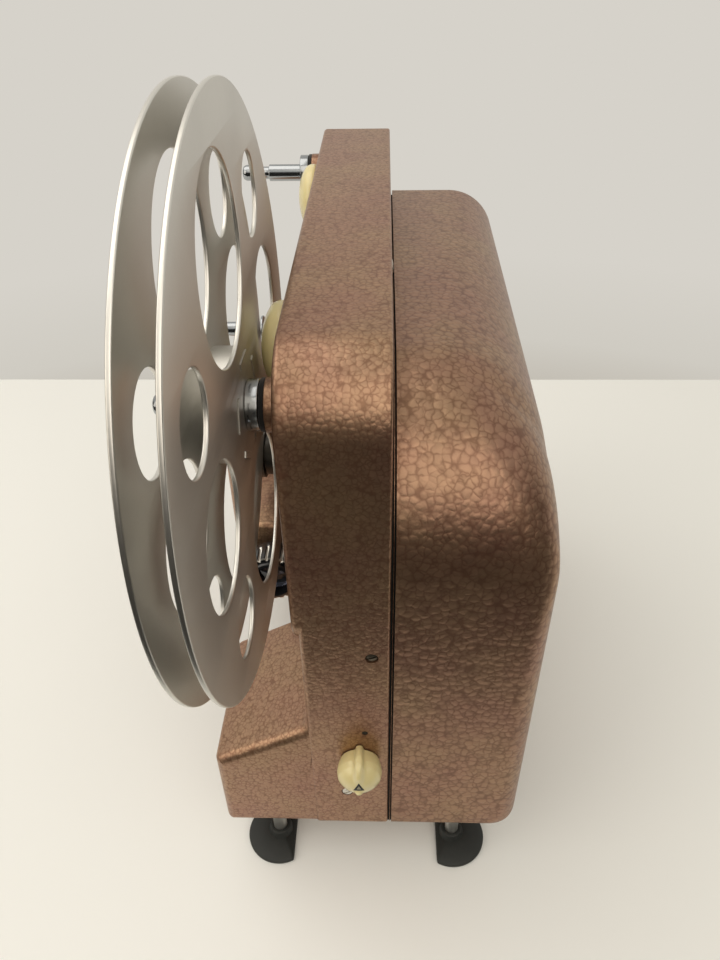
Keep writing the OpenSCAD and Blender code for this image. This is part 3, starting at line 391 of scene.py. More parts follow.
def place_on(plane, flat, depth):
    """Flat points become points in space: the plane's letter says which axis the depth runs along."""
    a, b, d = flat[..., 0], flat[..., 1], np.broadcast_to(depth, flat.shape[:-1])
    order = {"x": (d, a, b), "y": (a, d, b), "z": (a, b, d)}[plane]
    return np.stack(order, -1)


def round_rows(face, wall, radius, steps=6):
    """Rows of a rounded edge: depth runs from wall to face while the inset grows as 1 minus cosine."""
    t = np.linspace(0, np.pi / 2, steps)
    sign = 1 if wall > face else -1
    return np.column_stack([face + sign * radius * (1 - np.sin(t)), radius * (1 - np.cos(t))])


def slab(plane, corners, radii, rows, heart=None, steps=12):
    """Rows of (depth, inset): each is the outline moved inwards by its inset; both ends close on a point."""
    rows = np.asarray(rows, float)
    flat = np.stack([outline(corners, radii, inset, steps) for inset in rows[:, 1]])
    heart = flat[0].mean(0) if heart is None else np.asarray(heart, float)
    rings = place_on(plane, flat, rows[:, 0, None])
    tips = place_on(plane, np.broadcast_to(heart, (2, flat.shape[1], 2)), rows[[0, -1], 0][:, None])
    return np.concatenate([tips[:1], rings, tips[1:]])


def both_edges(low, high, radius_low, radius_high, steps=6):
    """Rows of a slab from low to high with both edges rounded."""
    first = round_rows(low, high, radius_low, steps)[::-1]
    return np.concatenate([first, round_rows(high, low, radius_high, steps)])


def softened(profile, radius, steps=5):
    """A broken line whose inner corners become short curves: between two cut points the line follows
    (1-t)^2 start + 2t(1-t) corner + t^2 end."""
    p = np.asarray(profile, float)
    back, ahead = p[:-2] - p[1:-1], p[2:] - p[1:-1]
    long_back, long_ahead = np.linalg.norm(back, axis=1), np.linalg.norm(ahead, axis=1)
    cut_back = np.minimum(radius, 0.45 * np.minimum(long_back, long_ahead))[:, None]
    a = p[1:-1] + back / long_back[:, None] * cut_back
    c = p[1:-1] + ahead / long_ahead[:, None] * cut_back
    t = np.linspace(0, 1, steps)[None, :, None]
    curves = (1 - t) ** 2 * a[:, None] + 2 * t * (1 - t) * p[1:-1, None] + t ** 2 * c[:, None]
    return np.concatenate([p[:1], curves.reshape(-1, 2), p[-1:]])


def turned(axis, centre, profile, steps=72):
    """Profile of (along, radius) spun about an axis: across it the point is radius times (cosine, sine)."""
    profile = np.asarray(profile, float)
    t = np.linspace(0, 2 * np.pi, steps, endpoint=False)
    along = np.broadcast_to(profile[:, :1], (len(profile), steps))
    one, two = profile[:, 1:] * np.cos(t), profile[:, 1:] * np.sin(t)
    order = {"x": (along, one, two), "y": (one, along, two), "z": (one, two, along)}[axis]
    return np.stack(order, -1) + np.asarray(centre, float)


def turned_piece(name, axis, centre, profile, material, body, nodes=(), steps=72, soft=0.25):
    """A turned piece with its profile's corners softened."""
    made = closed(name, turned(axis, centre, softened(profile, soft), steps))
    piece(name, made, material, body, nodes)


print("outline helper: a 10 mm square with 2 mm corners has",
      len(outline([(0, 0), (10, 0), (10, 10), (0, 10)], [2] * 4)), "points")

# %% [markdown]
# ## Cutting openings
# Slots and bores are cut with a Boolean, as a punch or drill would: the cutters are small slabs and turned
# bars that are thrown away afterwards.

# %% Cutting helper
def bar_mesh(low, high):
    """A box between two corners, as an eight-point grid of a ring at each end."""
    ring = [(low[0], low[1]), (high[0], low[1]), (high[0], high[1]), (low[0], high[1])]
    grid = slab("z", ring, [0.05] * 4, [(low[2], 0), (high[2], 0)], steps=2)
    return mesh_from_grid("cutter", grid, True)


def drill(axis, centre, low, high, radius, steps=40):
    """A round bar along an axis, between two places, as a turned grid."""
    profile = [(low, 0), (low, radius), (high, radius), (high, 0)]
    return mesh_from_grid("cutter", turned(axis, centre, profile, steps), True)


def cut(made, cutters):
    """The mesh minus its cutters, by the exact solver."""
    host = linked("host", made)
    tools = [linked("tool", settle(cutter)) for cutter in cutters]
    for tool in tools:
        step = host.modifiers.new("cut", "BOOLEAN")
        step.operation, step.solver, step.object = "DIFFERENCE", "EXACT", tool
    return baked(host, *tools)


print("cutting helper ready")

# %% [markdown]
# ## The casting
# The film side is one die-cast shell: a shallow tray with a 26 mm corner over the front spindle, a top that
# rises toward the rear and a small round along its film-side edge. Here it is a slab whose rows run down the
# outer wall, round the edge, across the film-side face, and back inside to the floor of the tray. Two screw
# recesses, the knob's hole, the index dot's recess and the shutter's slot are cut afterwards.

# %% Casting
FACE_X, FRONT_Y, REAR_Y, BOTTOM_Z = -31.2, 0.0, 243.0, 26.0
FLOOR_X, WALL = -28.2, 2.6
TILT = math.radians(2.6)
SPINDLES = {"front": (26.0, 222.0), "rear": (219.0, 242.0)}
CORNER, SPINDLE_Z = SPINDLES["front"]
top_front = SPINDLE_Z + CORNER / math.cos(TILT) - CORNER * math.tan(TILT)
top_rear = SPINDLE_Z + CORNER / math.cos(TILT) + (REAR_Y - CORNER) * math.tan(TILT)
CASTING_LINE = [(FRONT_Y, BOTTOM_Z), (REAR_Y, BOTTOM_Z), (REAR_Y, top_rear), (FRONT_Y, top_front)]
outer_rows = np.concatenate([[(FLOOR_X, WALL), (0.0, WALL)], round_rows(0.0, -5.0, 1.1, 6)[::-1],
                             round_rows(FACE_X, 0.0, 2.0, 8)])
casting_grid = slab("x", CASTING_LINE, [4, 4, 3, CORNER], outer_rows, (120, 140), 24)
SCREWS = [(FACE_X * 0.203, 135.5), (FACE_X * 0.54, 52.0)]
KNOB_X, KNOB_Z = FACE_X * 0.364, 75.0
SHUTTER_NEAR, SHUTTER_FAR, SHUTTER_TOP = 124.5, 128.5, 155
casting_cuts = [drill("y", (x, 0, z), -1, 1.6, 2.4) for x, z in SCREWS]
casting_cuts += [drill("y", (KNOB_X, 0, KNOB_Z), -1, 5, 3.3)]
casting_cuts += [drill("y", (KNOB_X + 2.2, 0, KNOB_Z + 17.5), -1, 0.6, 1.2)]
casting_cuts += [bar_mesh((-33, SHUTTER_NEAR, 79), (-20, SHUTTER_FAR, SHUTTER_TOP))]
casting_mesh = settle(cut(closed("casting_skin", casting_grid), casting_cuts), 35, False)
piece("casting_skin", casting_mesh, CASTING_ENAMEL_LIT, "body", ["casting"])
print("casting:", len(casting_mesh.vertices), "points, top rises to", round(top_rear, 1), "mm")

# %% [markdown]
# ## Screws in the front
# Two slotted screws hold the front end. The upper one is dark and sunk below the paint, the lower one is
# bright and stands a little proud. A third closes the hole that the inner plate shows above the hood. A head
# is a turned profile with a flat bar cut across it for the slot.

# %% Front screws
def screw_head(x, z, face_y, slot_degrees):
    """A turned head with a crown of 0.3 mm, cut by a bar that is turned to the slot's angle."""
    crown = [(face_y, 0), (face_y + 0.06, 1.2), (face_y + 0.3, 1.9), (face_y + 0.6, 2.15), (1.5, 2.15),
             (1.5, 0)]
    head = closed("head", turned("y", (x, 0, z), crown, 48))
    c, d = math.cos(math.radians(slot_degrees)), math.sin(math.radians(slot_degrees))
    bar = [(x - 3 * c - 0.3 * d, z - 3 * d + 0.3 * c), (x - 3 * c + 0.3 * d, z - 3 * d - 0.3 * c),
           (x + 3 * c + 0.3 * d, z + 3 * d - 0.3 * c), (x + 3 * c - 0.3 * d, z + 3 * d + 0.3 * c)]
    slot_grid = slab("y", bar, [0.05] * 4, [(face_y - 1, 0), (face_y + 0.75, 0)], steps=2)
    return settle(cut(head, [mesh_from_grid("slot", slot_grid, True)]), 30, False)


piece("front_screw_upper", screw_head(*SCREWS[0], 0.25, 20), DARK_SCREW_STEEL, "body", ["front_screws"])
piece("front_screw_lower", screw_head(*SCREWS[1], -0.35, 35), NICKELLED, "body")
plate_profile = [(-2.5, 0), (-2.5, 1.6), (0.0, 1.6), (0.0, 3.1), (0.5, 2.9), (0.9, 1.9), (1.0, 0)]
plate_head = closed("plate_screw", turned("x", (0, 110, 234), plate_profile, 48))
plate_slot = bar_mesh((0.45, 106, 233.65), (2, 114, 234.35))
piece("plate_screw", settle(cut(plate_head, [plate_slot]), 30, False), NICKELLED, "body")
print("front screws: 4.3 mm heads, and one of 6.2 mm at the top of the inner plate")

# %% [markdown]
# ## Spindle bosses
# Each spindle leaves the casting through a short boss that is cast and painted with it. A turned profile with
# a small flare at its root reads as one pour of metal.

# %% Spindle bosses
DECK_X = FACE_X - 2.4
BOSS_END, BOSS_BORE = -38.4, 6.0
flare = [(DECK_X + 1, BOSS_BORE), (DECK_X + 1, 9.8), (DECK_X - 0.05, 9.8), (DECK_X - 0.4, 9.0),
         (DECK_X - 1.0, 8.65), (-38.2, 8.6), (BOSS_END, 8.4), (BOSS_END, BOSS_BORE), (DECK_X + 1, BOSS_BORE)]
for end, (y, z) in SPINDLES.items():
    turned_piece(f"{end}_spindle_boss", "x", (0, y, z), flare, CASTING_ENAMEL_LIT, "body")
print("bosses:", len(SPINDLES))

# %% [markdown]
# ## The film deck
# Above the lens the film side stands 2.4 mm further out, as a raised deck with round lower corners that runs
# to the top edge. It is a slab with a rounded rim, cut away where the gate, the shutter and the lamp house
# pass.

# %% Film deck
DECK_LOW = 138
deck_line = [(FRONT_Y, DECK_LOW), (REAR_Y, DECK_LOW), (REAR_Y, top_rear), (FRONT_Y, top_front)]
deck_rows = both_edges(DECK_X, FACE_X + 2.2, 2.0, 0.05, 8) - [0, 0.03]
deck_grid = slab("x", deck_line, [14, 14, 3, CORNER], deck_rows, (60, 190), 24)
deck_cuts = [bar_mesh((-36, 117.5, 110), (-28, 204, 152)),
             bar_mesh((-36, SHUTTER_NEAR, 110), (-28, SHUTTER_FAR, SHUTTER_TOP)),
             drill("x", (0, 99.6, 153), -36, -28, 4.6)]
deck_mesh = settle(cut(closed("film_deck_panel", deck_grid), deck_cuts), 35, False)
piece("film_deck_panel", deck_mesh, CASTING_ENAMEL_LIT, "body", ["film_deck"])
print("film deck: stands", round(FACE_X - DECK_X, 1), "mm proud")

# %% [markdown]
# ## The hood
# The pressed hood has wide rounds where its top runs into the front and the outer side, and tighter ones up
# its corners. One section across the projector says it all: a top, a round, an outer side and a smaller round
# below. Carried along the body, the section sinks along a circle near each end, and its round tightens toward
# both ends, so the three rounds melt into each other without a crease.

# %% Hood
HOOD_X, HOOD_OUT, HOOD_TOP, HOOD_LOW = 1.5, 55.0, 228.0, 27.0
FRONT_ROUND, REAR_ROUND, UPRIGHT_ROUND, LOW_ROUND = 58, 6, 9, 3
REAR_ZONE = 14


def sink(distance, radius):
    """How far a quarter round has dropped at a distance from the end: radius minus the circle's height."""
    inside = np.clip(radius - distance, 0, radius)
    return radius - np.sqrt(np.maximum(radius ** 2 - inside ** 2, 0))


def hood_section(y):
    """Section at a place along the body: straight top, round, straight side, lower round and straight bottom,
    each stepped evenly; heights and width shrink by the rounds at both ends."""
    y = np.asarray(y, float)[:, None]
    to_front, to_rear = y, REAR_Y - y
    top = HOOD_TOP - sink(to_front, FRONT_ROUND) - sink(to_rear, REAR_ROUND)
    out = HOOD_OUT - sink(to_front, UPRIGHT_ROUND) - sink(to_rear, UPRIGHT_ROUND)
    low = HOOD_LOW + sink(to_front, LOW_ROUND) + sink(to_rear, LOW_ROUND)
    big = 44 - 16 * np.clip(1 - to_front / 40, 0, 1) - 22 * np.clip(1 - to_rear / 203, 0, 1)
    small = 5 + 5 * np.clip(np.minimum(to_front, to_rear) / 13, 0, 1)
    t = np.linspace(0, 1, 9)[None]
    later = t[:, 1:]
    a = np.linspace(0, np.pi / 2, 22)[None, 1:]
    x = [HOOD_X + (out - big - HOOD_X) * t, out - big + big * np.sin(a), out + 0 * later,
         out - small + small * np.cos(a), (out - small) + (HOOD_X - out + small) * later]
    z = [top + 0 * t, top - big + big * np.cos(a), (top - big) + (low + small - top + big) * later,
         low + small - small * np.sin(a), low + 0 * later]
    across = np.concatenate(x, 1)
    return np.stack([across, np.broadcast_to(y, across.shape), np.concatenate(z, 1)], -1)


front_steps = FRONT_ROUND * (1 - np.cos(np.linspace(0, np.pi / 2, 44)))
middle_steps = np.linspace(FRONT_ROUND, REAR_Y - REAR_ZONE, 16)[1:-1]
rear_steps = REAR_Y - REAR_ZONE * (1 - np.cos(np.linspace(np.pi / 2, 0, 18)))
hood_rows = hood_section(np.concatenate([front_steps, middle_steps, rear_steps]))
inwards = np.linspace(0.08, 1, 7)[::-1][1:, None, None]
heart = np.array([HOOD_X, 0, 100.0])
front_cap = (heart + (hood_rows[0] - heart) * inwards)[::-1]
heart_rear = np.array([HOOD_X, REAR_Y, 120.0])
rear_cap = heart_rear + (hood_rows[-1] - heart_rear) * inwards
hood_grid = np.concatenate([np.broadcast_to(heart, front_cap[:1].shape), front_cap, hood_rows, rear_cap,
                            np.broadcast_to(heart_rear, rear_cap[:1].shape)])
hood_mesh = settle(mesh_from_grid("hood_shell", hood_grid), 60, False)
print("hood:", hood_grid.shape[0], "sections of", hood_grid.shape[1], "points")

# %% [markdown]
# ## Giving the hood its wall
# The sheet is a little over 2 mm thick. Solidify grows it inwards from the outer skin, and then the nine rear
# slots, the eight slots underneath and the opening for the mains socket are cut.

# %% Hood wall and slots
from_middle = vectors(hood_mesh.polygons, "center") - metres([HOOD_X, 121, 120])
outward = (from_middle * vectors(hood_mesh.polygons, "normal")).sum()
if outward < 0:
    hood_mesh.flip_normals()
wall_holder = linked("wall_holder", hood_mesh)
wall = wall_holder.modifiers.new("wall", "SOLIDIFY")
wall.thickness, wall.offset = 0.0022, -1
slots = [bar_mesh((HOOD_X + 9, 230, 125 + k * 8), (HOOD_OUT - 13, 245, 128.5 + k * 8)) for k in range(9)]
slots += [bar_mesh((HOOD_X + 12, 88 + k * 9, 24), (HOOD_OUT - 14, 92 + k * 9, 33)) for k in range(8)]
slots += [bar_mesh((HOOD_X + 15.8, 236, 39.8), (HOOD_X + 38.2, 245, 56.2))]
hood_cut = settle(cut(baked(wall_holder), slots), 40, False)
piece("hood_shell", hood_cut, HOOD_ENAMEL_SHADED, "body", ["hood"])
print("hood wall: outward sum", round(float(outward), 4), "and", len(hood_cut.polygons), "faces once cut")

# %% [markdown]
# ## The strip and lip in the seam
# Looking into the dark joint between casting and hood, an eye finds black rubber and one thin light line: the
# painted edge of the plate that closes the casting. Both are rings of a few rows along the hood's side
# outline, with the lower side let down a little.

# %% Seam lip
def seam_ring(name, drop, rows, material, nodes=()):
    """Rows of (depth, inset): each is the side outline moved inwards by its inset, its bottom lower by drop."""
    line = [(0, BOTTOM_Z - drop), (REAR_Y, BOTTOM_Z - drop), (REAR_Y, HOOD_TOP), (0, HOOD_TOP)]
    rows = np.array(rows)
    flat = np.stack([outline(line, [3, 3, REAR_ROUND, FRONT_ROUND], inset, 24) for inset in rows[:, 1]])
    piece(name, closed(name, place_on("x", flat, rows[:, :1]), 50), material, "body", nodes)


lip = [(0.7, 3.4), (0.7, 1.5), (0.75, 1.4), (0.9, 1.4), (0.95, 1.5), (0.95, 3.4), (0.7, 3.4)]
seam_ring("seam_lip", 1.2, lip, CASTING_ENAMEL_LIT)
strip = [(0.0, 5.0), (0.0, 2.2), (HOOD_X, 2.2), (HOOD_X, 5.0), (0.0, 5.0)]
seam_ring("seam_strip", 2.1, strip, SEAM_RUBBER, ["seam_gasket"])
print("seam: a lip of 0.25 mm in a joint of", HOOD_X, "mm")

# %% [markdown]
# ## The outrigger
# A sloped box at the front of the film side carries the left foot out under the reel, so that a full reel
# can't tip the projector. It is a slab along the body: its outline is the front view, with a hollow round
# where the slope runs into the casting, and its front edge has a wider round that catches the light.

# %% Outrigger
OUT_X, OUT_HIGH = -70.1, 104
ROOT_X = FACE_X + 12
out_line = [(ROOT_X, BOTTOM_Z), (OUT_X, BOTTOM_Z), (OUT_X, 71.2), (FACE_X - 0.3, 92.6),
            (FACE_X - 0.3, OUT_HIGH), (ROOT_X, OUT_HIGH)]
out_rows = both_edges(0.5, 64.0, 4.4, 2.4, 10)
out_grid = slab("y", out_line, [3.0, 3.2, 3.6, 5.0, 3.0, 3.0], out_rows, (FACE_X - 1.5, 60), 10)
piece("outrigger_box", closed("outrigger_box", out_grid, 50), CASTING_ENAMEL_LIT, "body",
      ["outrigger"])
print("outrigger: reaches", round(FACE_X - OUT_X, 1), "mm out of the casting")

# %% [markdown]
# ## The reel
# A reel flange is a disc of sheet with round holes, and its edges are slightly turned over. A grid can't hold
# eight holes, so the flange is drawn as a flat curve with a small bevel, which fills the sheet, cuts the
# holes and rounds every edge at once. Then it becomes a mesh and is laid into place. Faces that don't look
# along the axis are the cut edges, and they get the brighter metal: partly the bare metal of the cut, partly
# a painted highlight for the light that the rims catch.

# %% Reel flanges
REEL_RADIUS, FLANGE_THICK, FLANGE_BEVEL = 89.0, 1.4, 0.42
REEL_Y, REEL_Z = SPINDLES["front"]
REEL_TURN = math.radians(13)


def ring_points(y, z, radius, count):
    """A circle as points: centre plus radius times (cosine, sine) of even angles."""
    t = np.linspace(0, 2 * np.pi, count, endpoint=False)
    return np.column_stack([y + radius * np.cos(t), z + radius * np.sin(t)])


def turned_to(degrees, points):
    """Flat points turned about the middle, by an angle counted from how the reel stands."""
    angle = REEL_TURN + math.radians(degrees)
    c, s = math.cos(angle), math.sin(angle)
    return points @ np.array([[c, s], [-s, c]])


flange_lines = [ring_points(0, 0, REEL_RADIUS, 220), ring_points(0, 0, 4.0, 40)]
for reach, radius, count, angles in ((50, 20.5, 84, (0, 180)), (50, 27.0, 96, (90, 270)),
                                     (65, 12.5, 60, (40, 140, 220, 320))):
    flange_lines += [turned_to(a, ring_points(reach, 0, radius, count)) for a in angles]
tab_slot = outline([(14.3, -5.1), (16.5, -5.1), (16.5, 5.1), (14.3, 5.1)], [0.4] * 4, 0, 4)
flange_lines += [turned_to(a, tab_slot) for a in (5, 77, 149, 221, 293)]


def flange_mesh(name, low_x):
    """Rim and holes as closed lines of one flat curve, thickened and bevelled, then laid across the axis."""
    drawn = bpy.data.curves.new(name, "CURVE")
    drawn.dimensions, drawn.fill_mode = "2D", "BOTH"
    drawn.bevel_depth, drawn.bevel_resolution = FLANGE_BEVEL, 3
    drawn.extrude, drawn.offset = FLANGE_THICK / 2 - FLANGE_BEVEL, -FLANGE_BEVEL
    for line in flange_lines:
        spline = drawn.splines.new("POLY")
        spline.points.add(len(line) - 1)
        none = 0 * line[:, :1]
        spline.points.foreach_set("co", np.column_stack([line, none, none + 1]).ravel())
        spline.use_cyclic_u = True
    made = baked(linked(name, drawn))
    flat = vectors(made.vertices, "co")
    laid = np.column_stack([low_x + FLANGE_THICK / 2 + flat[:, 2], REEL_Y + flat[:, 0], REEL_Z + flat[:, 1]])
    made.vertices.foreach_set("co", metres(laid).ravel())
    made.update()
    return made


for name, low_x, node in (("reel_flange_near", -45.6, "reel_flange_inner"),
                          ("reel_flange_far", -55.2, "reel_flange_outer")):
    sheet = settle(flange_mesh(name, low_x), 50)
    sheet.materials.clear()
    sheet.materials.append(REEL_SHEET)
    sheet.materials.append(CUT_EDGE_AND_HIGHLIGHT)
    # The edge faces get the brighter metal, which is partly a painted highlight on the rims.
    at_edge = np.abs(vectors(sheet.polygons, "normal")[:, 0]) < 0.9
    sheet.polygons.foreach_set("material_index", at_edge.astype(np.int32))
    piece(name, sheet, None, "front_reel", [node])
print("reel: two flanges of", len(sheet.vertices), "points, rim radius", REEL_RADIUS, "mm")

# %% [markdown]
# ## Spindles, collars and washers
# Turned and chromed. Each spindle has a seat for the reel, a groove for its latch and a rounded tip; a collar
# stops the reel, and a felt washer behind it rubs quietly on the boss.

# %% Spindles, collars and washers
shaft = [(-4.5, 0), (-4.5, 4.5), (-44.2, 4.5), (-44.2, 3.9), (-60.1, 3.9), (-60.1, 2.9), (-63.5, 2.9),
         (-63.5, 3.7), (-71.6, 3.7), (-73.0, 3.0), (-73.5, 1.6), (-73.5, 0)]
collar = [(-40.0, 4.4), (-40.0, 7.7), (-40.3, 8.1), (-43.9, 8.1), (-44.2, 7.8), (-44.2, 4.4), (-40.0, 4.4)]
washer = [(-38.4, 4.9), (-38.4, 8.4), (-39.9, 8.4), (-39.9, 4.9), (-38.4, 4.9)]
for end, (y, z) in SPINDLES.items():
    body = {"front": "front_reel", "rear": "rear_reel_drive"}[end]
    at = (0, y, z)
    turned_piece(f"{end}_spindle_bar", "x", at, shaft, CHROME, body, [f"{end}_spindle"], 56, 0.5)
    notch = bar_mesh((-43.2, y - 8.4, z - 1.2), (-42.4, y - 7.4, z + 1.2))
    ring_mesh = cut(closed("ring", turned("x", at, softened(collar, 0.2), 72)), [notch])
    piece(f"{end}_reel_collar", settle(ring_mesh, 35, False), CHROME, body, [f"{end}_collar"])
    turned_piece(f"{end}_felt_ring", "x", at, washer, FELT, "body", [f"{end}_washer"], 64, 0.35)
print("spindles: seat 15.9 mm long, 7.8 mm across")

# %% [markdown]
# ## The cream knobs
# Two flat domes beside the spindles set the reel brakes. Each is a turned dome with a rounded rim and a
# slight shoulder where it leaves the casting.

# %% Tension knobs
across = np.linspace(0, 1, 26)
dome = np.column_stack([DECK_X - 3.2 - 6.1 * np.sqrt(1 - across ** 2.2), 14.2 * across + 0.8 * across ** 8])
knob = np.concatenate([dome, [(DECK_X - 2.0, 15.0), (DECK_X - 0.9, 14.8), (DECK_X - 0.5, 14.2),
                              (DECK_X - 0.5, 3.0), (-20.2, 3.0), (-20.2, 0)]])
for end, (y, z) in {"front": (54.0, 228.0), "rear": (192.0, 237.0)}.items():
    made = closed(f"{end}_brake_dome", turned("x", (0, y, z), knob, 96), 50)
    piece(f"{end}_brake_dome", made, CREAM, f"{end}_tension", [f"{end}_tension_knob"])
print("tension knobs: 30 mm across, 9.3 mm high")

# %% [markdown]
# ## The speed knob
# A cream dome with a finger ridge on its upper half, which stands past the rim at the top and sinks into the
# dome near the middle, and a small nub below. Seen along its axis the knob is single valued, so it is a
# height over a polar grid: dome, ridge and nub are three heights that add up, so they flow into each other.
# Behind the rim the side draws in again toward the casting, like the back of an egg.

# %% Speed knob
KNOB_RIM, KNOB_TALL, KNOB_BALL, KNOB_Y = 8.75, 12.2, 9.6, -0.5


def knob_height(u, w):
    """Height of the moulding at a place across (u) and up (w): a ball cap, plus a ridge, plus a round nub at
    w -2.9. The ridge reaches up to an ellipse about w 4, grows in between w 0 and 7, and falls off across
    with the exponent of minus the cube of u."""
    r = np.minimum(np.hypot(u, w), KNOB_RIM)
    cap = KNOB_TALL - KNOB_BALL + np.sqrt(KNOB_BALL ** 2 - r ** 2)
    spine = KNOB_TALL - KNOB_BALL + np.sqrt(KNOB_BALL ** 2 - np.clip(w, 0, KNOB_RIM) ** 2)
    ellipse = 4.6 + 8.0 * np.sqrt(1 - np.clip((w - 4) / 7.9, 0, 1) ** 2)
    grown = np.clip(w / 7, 0, 1)
    grown = grown ** 2 * (3 - 2 * grown)
    ridge = grown * np.maximum(ellipse - spine, 0) * np.exp(-np.abs(u / 1.9) ** 3)
    nub = 1.1 * np.exp(-((u / 1.4) ** 2 + ((w + 2.9) / 1.3) ** 2) ** 2)
    return cap + ridge + nub


angle = np.linspace(0, 2 * np.pi, 144, endpoint=False)[None]
rim = KNOB_RIM + 2.9 * np.exp(-(np.cos(angle) * 11 / 1.95) ** 4) * (np.sin(angle) > 0)
share = np.sin(np.linspace(0, np.pi / 2, 44))[:, None]
u, w = share * rim * np.cos(angle), share * rim * np.sin(angle)
height = np.maximum(knob_height(u, w) - 1.2 * np.clip(share - 0.94, 0, 1) / 0.06, 0.6)
skin = np.stack([KNOB_X + u, KNOB_Y - height, KNOB_Z + w], -1)
drawn_in = np.linspace(0, 1, 9)[1:, None]
back_share = 1 - 0.12 * drawn_in ** 2
back = np.stack([KNOB_X + u[-1:] * back_share, KNOB_Y - height[-1:] * (1 - drawn_in),
                 KNOB_Z + w[-1:] * back_share], -1)
middle_ring = np.broadcast_to([KNOB_X, KNOB_Y, KNOB_Z], back[:1].shape)
knob_mesh = closed("speed_knob_moulding", np.concatenate([skin, back, middle_ring]), 60)
piece("speed_knob_moulding", knob_mesh, CREAM, "speed_control", ["speed_knob"])
print("speed knob: highest point", round(float(height.max()), 2), "mm off its back")

# %% [markdown]
# ## The knob's pointer
# A small black triangle with a pale heart, near the middle of the dome, points at the speed. The triangle is
# paint and the heart a pale patch on it; both grids take the dome's own height and lie a tenth or two of a
# millimetre above it.

# %% Knob pointer
def knob_patch(name, half_width, low, tall, lift):
    """A triangle on the knob: its sides draw in evenly to the tip, its height is the knob's plus a lift, and
    the same grid 0.6 mm deeper is its back."""
    side_share, up_share = np.meshgrid(np.linspace(-1, 1, 15), np.linspace(0, 1, 15))
    tri_u, tri_w = half_width * side_share * (1 - up_share), low + tall * up_share
    front = np.stack([KNOB_X + tri_u, KNOB_Y - knob_height(tri_u, tri_w) - lift, KNOB_Z + tri_w], -1)
    deeper = front + [0, 0.6, 0]
    whole = mesh_from_grid(name, np.concatenate([front, deeper[::-1], front[:1]]))
    joined = bmesh.new()
    for part in (whole, *[mesh_from_grid("side", np.stack([front[:, k], deeper[:, k]])) for k in (0, -1)]):
        joined.from_mesh(part)
    joined.to_mesh(whole)
    joined.free()
    return settle(whole)


pointer = knob_patch("pointer_triangle", 2.1, -0.7, 4.6, 0.12)
piece("pointer_triangle", pointer, BLACK_INK, "speed_control", ["knob_pointer"])
pale_heart = knob_patch("pointer_heart", 0.85, 0.4, 1.9, 0.2)
piece("pointer_heart", pale_heart, PALE_HEART_FILL, "speed_control")
print("pointer: 4.2 mm wide and 4.6 mm high")

# %% [markdown]
# ## Rubber feet
# Each foot is a rubber disc with one straight side, so that it clears the case it is packed in. In polar form
# its outline is the smaller of a circle and a chord, softly joined. The disc thins out toward its rim, and a
# sleeve holds the steel stem.

# %% Feet
FEET = {"front_left": (-49.211, 10.0, 0), "front_right": (29.4, 10.0, 180), "rear_left": (-17.2, 219.0, 0),
        "rear_right": (29.4, 219.0, 180)}
FOOT_RADIUS, FOOT_CHORD = 15, 7.0


def foot_grid(x, y, degrees):
    """Rows of (height, share of the outline): the outline is a circle or a chord, whichever is nearer,
    blended by a soft minimum."""
    t = np.linspace(0, 2 * np.pi, 120, endpoint=False)
    chord = FOOT_CHORD / np.maximum(np.cos(t), 0.2)
    limit = 0.5 * (FOOT_RADIUS + chord - np.sqrt((FOOT_RADIUS - chord) ** 2 + 0.5 ** 2))
    rows = np.array([(0.0, 0), (0.0, 0.93), (0.2, 0.98), (0.6, 1.0), (1.5, 1.0), (2.0, 0.985), (2.3, 0.95),
                     (3.0, 0.8), (3.7, 0.6), (4.3, 0.4), (4.5, 0.0)])
    r = rows[:, 1:] * limit[None]
    a = t + math.radians(degrees)
    return np.stack([x + r * np.cos(a), y + r * np.sin(a), np.broadcast_to(rows[:, :1], r.shape)], -1)


sleeve = [(4.2, 3.0), (4.2, 5.6), (5.2, 5.1), (7.2, 4.7), (7.6, 4.3), (7.6, 3.0), (4.2, 3.0)]
stem = [(2.0, 0), (2.0, 3.0), (22.0, 3.0), (22.0, 4.6), (25.2, 4.6), (26.0, 4.2), (30.0, 4.2), (30.0, 0)]
for corner, (x, y, degrees) in FEET.items():
    made = closed(f"rubber_foot_{corner}", foot_grid(x, y, degrees), 45)
    piece(f"rubber_foot_{corner}", made, RUBBER, "body", [f"foot_pad_{corner}"])
    turned_piece(f"foot_sleeve_{corner}", "z", (x, y, 0), sleeve, RUBBER, "body", steps=48)
    turned_piece(f"foot_stem_{corner}", "z", (x, y, 0), stem, STEM_ZINC, "body",
                 ["foot_stems"] if corner == "front_left" else (), 48)
print("feet:", len(FEET))

# %% [markdown]
# ## The lens
# The lens tube is black, with steps inside that stop stray light. Around its front sits the focusing ring,
# whose scallops get bright metal as a painted highlight, for the glints along the ring's front edge. The
# ring's outline is a circle with a dip for each scallop, and the dips fade out toward the rear of the ring.

# %% Lens tube and focusing ring
FILM_X, LENS_Z, SCALLOPS = -49.7, 117.0, 22
tube = [(56.0, 8.4), (56.4, 9.6), (57.0, 10.0), (111.0, 10.0), (111.0, 6.6), (72.0, 6.6), (71.0, 7.4),
        (69.0, 7.4), (68.0, 8.0), (66.0, 8.0), (65.0, 8.2), (56.6, 8.2), (56.0, 8.4)]
turned_piece("lens_tube", "y", (FILM_X, 0, LENS_Z), tube, BLACK_TUBE, "lens", ["lens_barrel"],
             96, 0.15)
t = np.linspace(0, 2 * np.pi, SCALLOPS * 12, endpoint=False)[None]
rows = np.array([(58.0, 10.06, 0.0), (58.0, 11.2, 0.8), (58.35, 11.9, 1.0), (65.0, 12.0, 1.0),
                 (66.2, 12.0, 0.25), (67.0, 12.0, 0.0), (68.6, 12.0, 0.0), (69.0, 11.6, 0.0),
                 (69.0, 10.06, 0.0), (58.0, 10.06, 0.0)])
